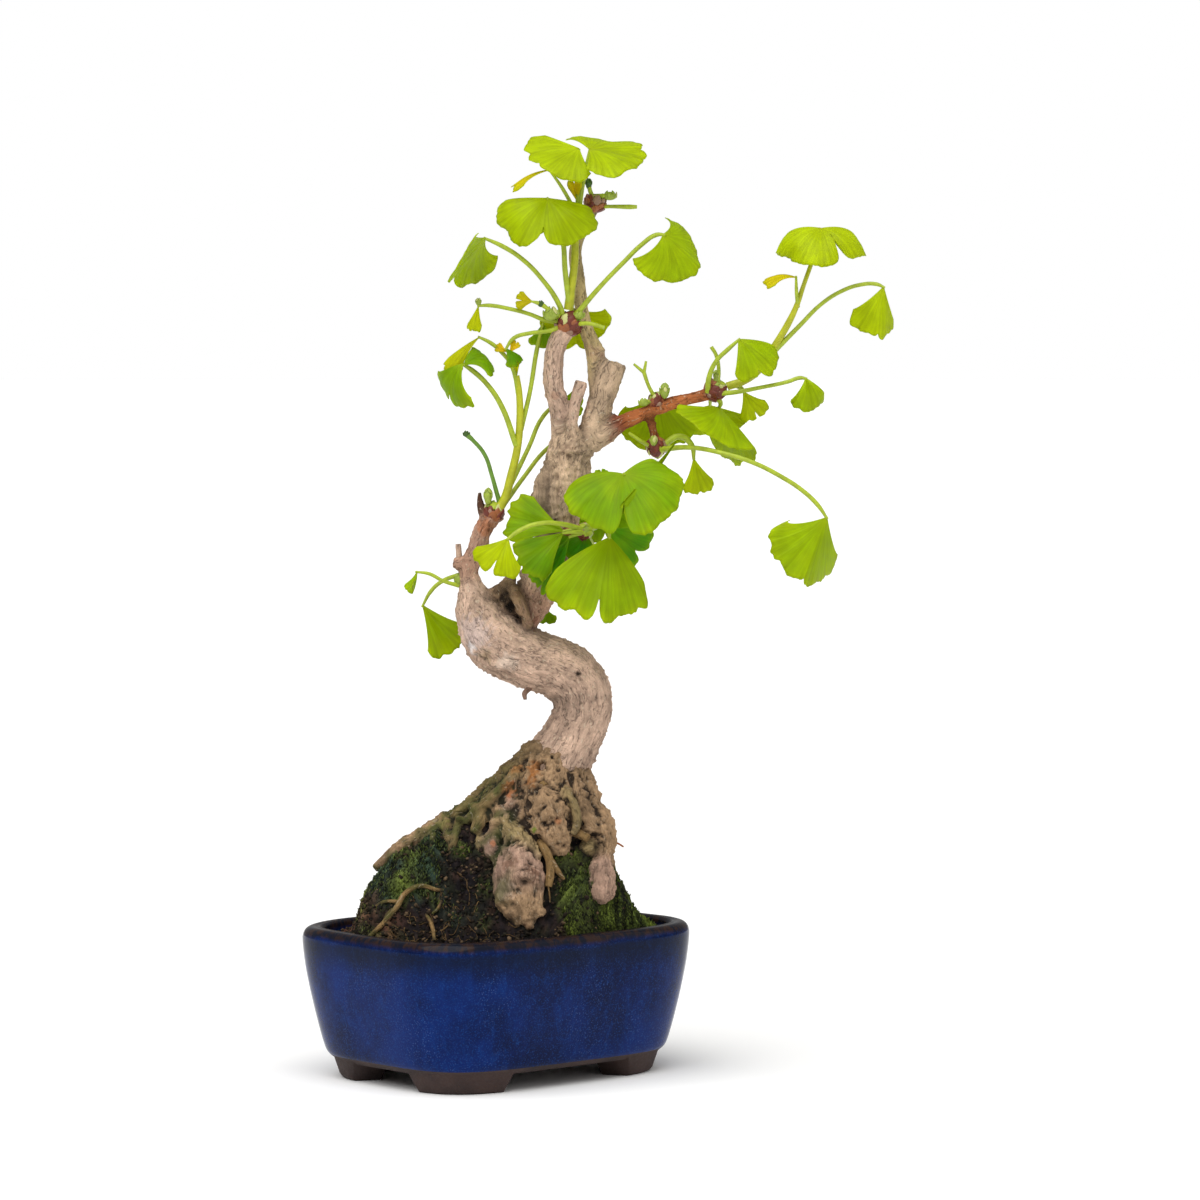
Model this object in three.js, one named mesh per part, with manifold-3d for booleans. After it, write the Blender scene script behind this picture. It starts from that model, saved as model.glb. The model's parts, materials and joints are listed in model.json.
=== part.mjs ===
// A ginkgo bonsai in a glazed pot. Millimetres, +Z up, the pot's long side along X.
import * as THREE from 'three';
import { mergeVertices } from 'three/addons/utils/BufferGeometryUtils.js';
import Module from 'manifold-3d';

const wasm = await Module();
wasm.setup();

// ---- driving dimensions ----
const POT_HALF_LENGTH = 75;
const POT_HALF_WIDTH = 59.5;
const POT_CORNER_POWER = 4.2; // 2 is an ellipse, higher is squarer
const FOOT_HEIGHT = 8.6;
const FLOOR_TOP = 15;
const DRAIN_RADIUS = 6;
const DRAIN_SPACING = 62;
const SCREEN_SIDE = 24;
const SCREEN_THICKNESS = 1;
const SCREEN_HOLE = 3;
const SOIL_EDGE_HEIGHT = 57.5;
const GAP = 0.3; // left between touching pieces
const BLADE_THICKNESS = 0.6;
const ROOT_IN_STALK = 0.6; // how far a blade's base sinks into the end of its stalk
const CUP_THICKNESS = 1.3; // the green leaf bases around a spur's head
const VIEW_TURN = THREE.MathUtils.degToRad(-42); // the tree's own frame against the pot

// ---- colours ----
const COBALT = { color: 0x173a7c, roughness: 0.2 };
const MESH_GREY = { color: 0x2b2b2b, roughness: 0.7 };
const DARK_SOIL = { color: 0x2c2a1c, roughness: 0.95 };
const BARK = { color: 0xb49a80, roughness: 0.85 };
const LEAF_GREEN = { color: 0x7fb010, roughness: 0.5 };
const LEAF_YELLOW = { color: 0xb0c010, roughness: 0.5 };

// ---- solids ----
function solidOf(geometry) {
  geometry.deleteAttribute('normal');
  geometry.deleteAttribute('uv');
  const merged = mergeVertices(geometry, 1e-4);
  const mesh = new wasm.Mesh({
    numProp: 3,
    vertProperties: new Float32Array(merged.attributes.position.array),
    triVerts: new Uint32Array(merged.index.array),
  });
  return new wasm.Manifold(mesh);
}

function join(solids) {
  return wasm.Manifold.union(solids);
}

function meshOf(name, solid, look) {
  const { vertProperties, triVerts } = solid.getMesh();
  const geometry = new THREE.BufferGeometry();
  geometry.setAttribute('position', new THREE.BufferAttribute(new Float32Array(vertProperties), 3));
  geometry.setIndex(new THREE.BufferAttribute(new Uint32Array(triVerts), 1));
  geometry.computeVertexNormals();
  const mesh = new THREE.Mesh(geometry, new THREE.MeshStandardMaterial({ metalness: 0, ...look }));
  mesh.name = name;
  return mesh;
}

// Closed skin over a list of rings with equally many points, each ring counter-clockwise from above
// while the list goes up the outside. The first and last rings close on their middles.
function skin(rings) {
  const count = rings[0].length;
  const points = rings.flat();
  const faces = [];
  for (let r = 0; r < rings.length - 1; r++) {
    for (let i = 0; i < count; i++) {
      const a = r * count + i;
      const b = r * count + ((i + 1) % count);
      faces.push(a, b, b + count, a, b + count, a + count);
    }
  }
  const last = (rings.length - 1) * count;
  const lowMiddle = points.length;
  points.push(middleOf(rings[0]), middleOf(rings.at(-1)));
  for (let i = 0; i < count; i++) {
    const next = (i + 1) % count;
    faces.push(lowMiddle, next, i);
    faces.push(lowMiddle + 1, last + i, last + next);
  }
  return closedSolid(points, faces);
}

function middleOf(ring) {
  return [0, 1, 2].map((k) => ring.reduce((sum, p) => sum + p[k], 0) / ring.length);
}

function closedSolid(points, faces) {
  const geometry = new THREE.BufferGeometry();
  geometry.setAttribute('position', new THREE.Float32BufferAttribute(points.flat(), 3));
  geometry.setIndex(faces);
  return solidOf(geometry);
}

function ball([x, y, z], [rx, ry, rz], across = 6, down = 4) {
  const geometry = new THREE.SphereGeometry(1, across, down);
  geometry.scale(rx, ry, rz);
  geometry.translate(x, y, z);
  return solidOf(geometry);
}

function block([width, depth, height], [x, y, z]) {
  const geometry = new THREE.BoxGeometry(width, depth, height);
  geometry.translate(x, y, z);
  return solidOf(geometry);
}

// A cylinder bent along a smooth curve through points of [x, y, z, radius].
function tube(points, sides = 8, stepsPerSpan = 2, grow = 0) {
  const curve = new THREE.CatmullRomCurve3(points.map(([x, y, z]) => new THREE.Vector3(x, y, z)));
  const steps = (points.length - 1) * stepsPerSpan;
  const frames = carriedFrames(curve, steps);
  const geometry = new THREE.CylinderGeometry(1, 1, 1, sides, steps);
  const position = geometry.attributes.position;
  const place = new THREE.Vector3();
  for (let i = 0; i < position.count; i++) {
    const step = Math.round((position.getY(i) + 0.5) * steps);
    const radius = radiusAt(points, step / stepsPerSpan) + grow;
    const { centre, side, up } = frames[step];
    place.copy(centre);
    place.addScaledVector(up, position.getX(i) * radius);
    place.addScaledVector(side, position.getZ(i) * radius);
    position.setXYZ(i, place.x, place.y, place.z);
  }
  return solidOf(geometry);
}

function radiusAt(points, span) {
  const index = Math.min(Math.floor(span), points.length - 2);
  return THREE.MathUtils.lerp(points[index][3], points[index + 1][3], span - index);
}

// Frames along the curve that turn no more than the curve does.
function carriedFrames(curve, steps) {
  const frames = [];
  let side = new THREE.Vector3(0.31, 0.9, 0.3);
  for (let i = 0; i <= steps; i++) {
    const forward = curve.getTangent(i / steps);
    side = side.clone().addScaledVector(forward, -side.dot(forward)).normalize();
    const up = new THREE.Vector3().crossVectors(forward, side);
    frames.push({ centre: curve.getPoint(i / steps), side, up });
  }
  return frames;
}

// ---- leaves ----
// The length of a ginkgo blade from its base to its edge, against its radius, at -1 to 1 across the fan.
function fanEdge(across, notch, phase) {
  const shoulders = 0.1 * Math.abs(across) ** 3;
  const cleft = notch * Math.exp(-((across / 0.055) ** 2));
  const waves = 0.03 * Math.sin(8 * across + phase) + 0.018 * Math.sin(21 * across + 2 * phase);
  return 1 - shoulders - cleft + waves;
}

// A point of the blade: across the fan (-1 to 1), along it (0 to 1), and lift off its middle surface.
function bladePoint(blade, across, along, lift) {
  const { radius, halfFan, notch, shift, curl, droop, fold, phase } = blade;
  const angle = halfFan * (across + shift * (1 - across * across));
  const reach = radius * along * (1 + along * along * (fanEdge(across, notch, phase) - 1));
  let u = reach * Math.sin(angle);
  let v = reach * Math.cos(angle);
  let w = lift + 0.04 * radius * along * along * Math.sin(5 * angle + phase);
  w += (Math.sqrt(u * u + 1) - 1) * Math.sin(fold);
  u *= Math.cos(fold);
  [u, w] = bent(u, w, curl / radius);
  const [forward, down] = bent(v, -w, droop / radius);
  return [u, forward, -down];
}

// Bends a strip: distance along it and height over it, for a curvature that lifts its ends.
function bent(along, over, curvature) {
  if (Math.abs(curvature) < 1e-6) return [along, over];
  const turn = curvature * along;
  const lift = (1 - Math.cos(turn)) / curvature;
  return [Math.sin(turn) / curvature - over * Math.sin(turn), lift + over * Math.cos(turn)];
}

// A ginkgo blade: at its base, growing toward a direction, with its upper face turned to face.
function leaf(at, toward, face, radius, fan, shape = {}) {
  const defaults = { notch: 0.2, shift: 0, curl: -0.5, droop: 0.4, fold: 0, phase: 0 };
  const blade = { ...defaults, ...shape, radius, halfFan: THREE.MathUtils.degToRad(fan / 2) };
  blade.fold = THREE.MathUtils.degToRad(blade.fold);
  const ahead = new THREE.Vector3(...toward).normalize();
  const across = new THREE.Vector3().crossVectors(ahead, new THREE.Vector3(...face)).normalize();
  const above = new THREE.Vector3().crossVectors(across, ahead);
  const root = new THREE.Vector3(...at).addScaledVector(ahead, -ROOT_IN_STALK);
  const frame = new THREE.Matrix4().makeBasis(across, ahead, above).setPosition(root);

  const columns = radius > 19 ? 10 : radius > 13 ? 6 : 4;
  const rows = radius > 19 ? 3 : 2;
  const points = [];
  const faces = [];
  for (const lift of [BLADE_THICKNESS / 2, -BLADE_THICKNESS / 2]) {
    points.push(bladePoint(blade, 0, 0, lift));
    for (let row = 1; row <= rows; row++) {
      for (let column = 0; column <= columns; column++) {
        points.push(bladePoint(blade, (2 * column) / columns - 1, row / rows, lift));
      }
    }
  }
  const side = points.length / 2;
  const indexAt = (column, row) => (row === 0 ? 0 : 1 + (row - 1) * (columns + 1) + column);
  const wall = (a, b) => faces.push(a, a + side, b + side, a, b + side, b);
  for (let column = 0; column < columns; column++) {
    for (let row = 0; row < rows; row++) {
      const [a, b] = [indexAt(column, row), indexAt(column + 1, row)];
      const [c, d] = [indexAt(column + 1, row + 1), indexAt(column, row + 1)];
      if (row > 0) faces.push(a, b, c, a + side, c + side, b + side);
      faces.push(a, c, d, a + side, d + side, c + side);
    }
    wall(indexAt(column + 1, rows), indexAt(column, rows));
  }
  for (let row = 0; row < rows; row++) {
    wall(indexAt(0, row + 1), indexAt(0, row));
    wall(indexAt(columns, row), indexAt(columns, row + 1));
  }
  const placed = points.map((p) => new THREE.Vector3(...p).applyMatrix4(frame).toArray());
  const solid = closedSolid(placed, faces);
  if (solid.volume() < 0) throw new Error('a blade is inside out');
  return solid;
}

function stalk(points) {
  return tube(points, 4, 1);
}

// A leaf on its stalk, its base held in the stalk's end.
function leafOn(points, toward, face, radius, fan, shape) {
  const [end, before] = [points.at(-1), points.at(-2)].map(([x, y, z]) => new THREE.Vector3(x, y, z));
  const base = end.clone().addScaledVector(before.sub(end).normalize(), ROOT_IN_STALK);
  return join([stalk(points), leaf(base.toArray(), toward, face, radius, fan, shape)]);
}

function cup(spur) {
  const [[x, y, z], radius] = SPURS[spur];
  const outer = radius + GAP + CUP_THICKNESS;
  return ball([x, y, z + 0.8], [outer, outer, outer]);
}

// ---- pot ----
// A rounded rectangle with bowed sides, drawn in by an inset, at a height.
function potRing(inset, z, count = 32, turn = 0) {
  const ring = [];
  for (let i = 0; i < count; i++) {
    const angle = (2 * Math.PI * (i + 0.5)) / count;
    const [x, y] = potOutline(angle, inset);
    ring.push([x * Math.cos(turn) - y * Math.sin(turn), x * Math.sin(turn) + y * Math.cos(turn), z]);
  }
  return ring;
}

function potOutline(angle, inset) {
  const power = 2 / POT_CORNER_POWER;
  const x = Math.sign(Math.cos(angle)) * Math.abs(Math.cos(angle)) ** power;
  const y = Math.sign(Math.sin(angle)) * Math.abs(Math.sin(angle)) ** power;
  return [(POT_HALF_LENGTH - inset) * x, (POT_HALF_WIDTH - inset) * y];
}

const POT_PROFILE = [ // inset and height, up the outside, over the lip and down the inside
  [12.5, FOOT_HEIGHT - 1], [9.4, 10], [7.7, 13.5], [5.4, 23], [3, 35], [1, 47], [0, 57.5],
  [0.4, 61], [1.7, 62.9], [3.4, 63.5], [5.2, 63.1], [6.6, 61.5],
  [8.5, 42], [11, 24], [13.5, 17], [16.5, FLOOR_TOP],
];

// One of the four corner feet, with slanted ends: from one angle of the outline to the other.
function foot(from, to, slant) {
  const steps = 4;
  const rings = [];
  for (let i = 0; i <= steps; i++) {
    const high = THREE.MathUtils.lerp(from, to, i / steps);
    const low = THREE.MathUtils.lerp(from + slant, to - slant, i / steps);
    const [outerHigh, innerHigh] = [potOutline(high, 10.4), potOutline(high, 25)];
    const [outerLow, innerLow] = [potOutline(low, 13.4), potOutline(low, 25)];
    const top = FOOT_HEIGHT + 2;
    rings.push([[...outerHigh, top], [...outerLow, 0], [...innerLow, 0], [...innerHigh, top]]);
  }
  return skin(rings);
}

function pot() {
  const body = skin(POT_PROFILE.map(([inset, z]) => potRing(inset, z)));
  const feet = [0, 1, 2, 3].map((corner) => {
    const start = 0.1;
    const end = 1.36;
    const mirrored = corner % 2 === 1;
    const base = (corner * Math.PI) / 2;
    const from = mirrored ? base + Math.PI / 2 - end : base + start;
    const to = mirrored ? base + Math.PI / 2 - start : base + end;
    return foot(from, to, 0.1);
  });
  const drains = [-1, 1].map((side) => {
    const hole = new THREE.CylinderGeometry(DRAIN_RADIUS, DRAIN_RADIUS, FLOOR_TOP * 2, 14);
    hole.rotateX(Math.PI / 2);
    hole.translate((side * DRAIN_SPACING) / 2, 0, FLOOR_TOP / 2);
    return solidOf(hole);
  });
  return join([body, ...feet]).subtract(join(drains));
}

const SCREEN_Z = FLOOR_TOP + GAP + SCREEN_THICKNESS / 2;

function drainScreen(side) {
  const x = (side * DRAIN_SPACING) / 2;
  const holes = [];
  for (let row = 0; row < 3; row++) {
    for (let column = 0; column < 3; column++) {
      const place = [x + (column - 1) * 6, (row - 1) * 6, SCREEN_Z];
      holes.push(block([SCREEN_HOLE, SCREEN_HOLE, 4], place));
    }
  }
  return block([SCREEN_SIDE, SCREEN_SIDE, SCREEN_THICKNESS], [x, 0, SCREEN_Z]).subtract(join(holes));
}

// ---- soil, in the tree's frame ----
const MOUND_CREST = 5; // half width of its rounded top
const MOUND_FOOT = 52; // how far its foot lies in front of and behind the top
const MOUND_RIDGE = [ // height of the top from left to right
  [-78, 57], [-61, 60], [-56, 74], [-51, 82], [-45, 90], [-38, 95], [-25, 102], [-5, 110], [18, 113],
  [36, 105], [45, 92], [50, 83], [56, 72], [61, 64], [70, 58], [80, 57],
];

function ridgeAt(x) {
  const after = MOUND_RIDGE.findIndex(([place]) => place > x);
  const [[x0, z0], [x1, z1]] = [MOUND_RIDGE[after - 1], MOUND_RIDGE[after]];
  return THREE.MathUtils.lerp(z0, z1, (x - x0) / (x1 - x0));
}

function soilHeight(x, y) {
  const fall = THREE.MathUtils.smoothstep(Math.abs(y + 2), MOUND_CREST, MOUND_FOOT);
  return THREE.MathUtils.lerp(ridgeAt(x), SOIL_EDGE_HEIGHT, fall);
}

// A point of a root that lies in the mound's surface, a little more than half sunk.
function onMound(x, y, radius) {
  return [x, y, soilHeight(x, y) + 0.35 * radius, radius];
}

const SOIL_PROFILE = [ // inset from the pot's outline and height, up the side
  [16.9, FLOOR_TOP + GAP], [13.9, 17.3], [11.4, 24], [8.9, 42], [7.4, SOIL_EDGE_HEIGHT - 0.5],
];

function soilBody() {
  const spokes = 26;
  const rings = SOIL_PROFILE.map(([inset, z]) => potRing(inset, z, spokes, -VIEW_TURN));
  const rim = potRing(7.6, 0, spokes, -VIEW_TURN);
  const steps = 9;
  for (let step = 0; step < steps; step++) {
    const reach = 1 - step / steps;
    rings.push(rim.map(([x, y]) => [x * reach, y * reach, soilHeight(x * reach, y * reach)]));
  }
  return skin(rings);
}

// ---- wood ----
const WOOD_TUBES = [
  // trunk: crown, right bend, long lower reach, left shoulder and the branch that rises from it
  [[20, 0, 116, 19], [25, 0, 130.4, 14.5], [32.2, 0, 143, 12.2], [36.4, 0, 155.6, 12.3],
    [32.6, 0, 166.1, 12.4], [23.8, -1, 171.8, 12.6], [11, -2, 176.3, 12.8], [-1.2, -3, 183.6, 13],
    [-8.2, -3, 194, 10], [-11.3, -3, 203.9, 6.6], [-11.7, -3, 212.3, 4.3], [-8, -3, 220.7, 4.3],
    [-4.6, -3, 229.1, 4.6], [-2, -3, 235, 4.4]],
  [[-5, -3, 234, 2.4], [-6.9, -3, 241.7, 1.5], [-6.9, -3, 245.3, 0.9]],
  [[-12, -3, 214, 3], [-16.5, -3, 216.6, 3.1], [-18.4, -3, 217.2, 2.2]],
  [[-15.5, -3, 217, 1.4], [-16, -3, 223.4, 1.2]],
  // leader and its fork
  [[8, 4, 183, 9], [14.1, 3, 199.7, 9.6], [24.2, 2, 220.7, 9.2], [25, 0, 239.6, 9], [28.8, 0, 252.2, 8.8],
    [31.7, 0, 262.7, 9]],
  [[30, 0, 264, 7], [27.5, 0, 275, 4.4], [24.9, -1, 283.7, 3.6], [24, -2, 292, 3.6], [23.7, -2, 300.5, 3.9],
    [26, -3, 309, 3.8], [29.6, -3, 315, 4.1]],
  [[33, 0, 268, 5], [33.6, 0, 280, 3.6], [35.5, 0, 290, 3.3], [35.5, 0, 292.4, 3]],
  [[36, 0, 264, 6], [40, 0, 274, 5.2], [43.2, 0, 284, 5.4], [47.5, 0, 294, 5], [50.2, 0, 300.5, 4.4]],
  [[43, 1, 284, 4.6], [42.4, 3, 296, 4.3], [38, 4, 313, 4], [35.9, 5, 321.5, 3.4], [34.4, 5, 334, 3],
    [33.2, 5, 346.7, 2.9], [36.2, 4, 355, 2.5], [39.7, 2, 361.4, 2.6], [41, 1, 366.5, 3.6]],
  // right branch and its lower spur
  [[40, 0, 268, 4], [49, 0, 273.6, 4.6], [54, 0, 275.8, 3.4], [62, 0, 278.4, 3], [72, 0, 282, 2.6],
    [81.3, -1, 284.6, 2.2], [87, -2, 286, 2.6], [90.8, -2, 287.6, 3.2]],
  [[64, 1, 278, 1.8], [66, 2.5, 270, 1.7], [67, 2, 265, 2.6]],
  [[66.4, 0, 279.5, 2], [66.8, -1, 283, 2.3]],
  [[12.5, -3, 164, 1.2], [12.8, -8, 161.5, 1], [12.4, -9, 157.5, 0.8]],
  [[28, -4, 228, 3], [37, -12, 228.8, 2.4]],
  // spread roots: the left ridge, the front lobe, the middle tongue, the right lobe, three at the back
  [[16, -4, 125.6, 11], [2, -4, 117, 8.5], onMound(-11, -2, 7.5), onMound(-24, -2, 5.5),
    onMound(-36, -2, 4.4), onMound(-46.5, -2, 3.4), onMound(-53, -2, 2)],
  [[20, -8, 118, 13], onMound(14.3, -15.9, 10), onMound(10.3, -22.8, 10), onMound(9.6, -28.7, 10),
    onMound(11.3, -33.9, 10), onMound(13.4, -37.6, 8), onMound(15.1, -41.4, 5.6), onMound(16, -45.3, 4)],
  [[26, -4, 121, 11], [24, -11, 113, 9.5], onMound(24.8, -17.9, 8), onMound(27.3, -22.9, 5)],
  [[33, -4, 120, 10], [38, -7, 114, 8.5], [42.7, -6, 104, 8], [43.5, -11, 95.8, 6.5],
    onMound(43.9, -21.5, 6.5), onMound(43.9, -28.2, 5.5), onMound(43.9, -31.4, 3)],
  [[8, -14, 110, 7], onMound(4, -18.8, 6), onMound(-2.2, -23.2, 5.5)],
  [[22, 8, 120, 13], onMound(20, 20, 8), onMound(15, 33, 6), onMound(9, 45, 3.6)],
  [[32, 6, 116, 10], onMound(40, 14, 7), onMound(47, 25, 5), onMound(50, 38, 3)],
  [[12, 6, 118, 9], onMound(0, 16, 6), onMound(-10, 28, 4.5), onMound(-20, 42, 2.6)],
  // thin roots over the mound
  [[15, -21, 100, 1.8], onMound(18.6, -22.6, 1.6), onMound(22.3, -25.1, 1.5), onMound(22.8, -28.3, 1.4),
    onMound(22, -32.5, 1.3), onMound(22.5, -34.7, 0.9)],
  [onMound(1, -20.5, 2.6), onMound(-10, -29, 1.4), onMound(-18.5, -32.8, 1.4), onMound(-23.5, -30.9, 1.6),
    onMound(-31, -28.7, 1.6), onMound(-37.2, -30.5, 1.6), onMound(-42.4, -33.8, 1.4),
    onMound(-48.8, -37.8, 1.2), onMound(-52.8, -41.2, 0.9)],
  [onMound(-31, -28.7, 1.4), onMound(-29, -37.8, 1.2), onMound(-24.6, -46.6, 0.9)],
  // roots inside the soil
  [[20, -2, 104, 13], [14, -2, 80, 8], [-4, -6, 58, 4.6], [-30, -13, 36, 1.6]],
  [[22, 0, 104, 12], [30, 4, 76, 7], [44, 12, 36, 2]],
];

const WOOD_KNOBS = [ // centre and radii
  [[24, -15, 112], [11, 9, 12]], [[35, -15, 100], [4.5, 4, 3.4]], [[37, -18, 95], [5, 4, 4]],
  [[4, -10, 121], [7, 6, 6]], [[46, -8, 103], [6, 6, 8]], [[19, -40, 75], [2.8, 2.4, 2.6]],
  [[14, -6, 130], [8, 8, 7]], [[6, 4, 196], [6.5, 6, 7]], [[24, -2, 105], [13, 12, 9]],
  [[12, 2, 117], [8, 8, 8]],
];

const SPURS = { // centre and radius of each short shoot's head
  left: [[-0.8, -3, 235.4], 4.6],
  top: [[30.2, -3, 315], 4.4],
  apex: [[41.4, 1, 366.4], 3.9],
  right: [[91.2, -2, 287.8], 3.9],
  lowerRight: [[67, 1.6, 264.4], 3.6],
  innerRight: [[66.9, -1, 283.4], 2.6],
  centre: [[37, -12, 229], 2.9],
};

function wood(grow) {
  const widest = (points) => Math.max(...points.map((p) => p[3]));
  const sides = (points) => (widest(points) > 8 ? 8 : widest(points) > 3.5 ? 6 : 4);
  const tubes = WOOD_TUBES.map((points) => tube(points, sides(points), 1, grow));
  const knobs = WOOD_KNOBS.map(([centre, radii]) => ball(centre, radii.map((r) => r + grow)));
  const heads = Object.values(SPURS).map(([centre, radius]) => ball(centre, Array(3).fill(radius + grow)));
  return join([...tubes, ...knobs, ...heads]);
}

// The ragged hollow where the old trunk was cut, between the shoulder and the leader.
function oldCut() {
  const slit = tube([[-6, -16, 206, 3], [1, -12, 203, 3.4], [6, -8, 198, 3.8], [11, -9, 190, 2.6]], 7, 1);
  const pocket = ball([2, -2, 211], [7, 9, 6.5]);
  return join([slit, pocket]);
}

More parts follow.
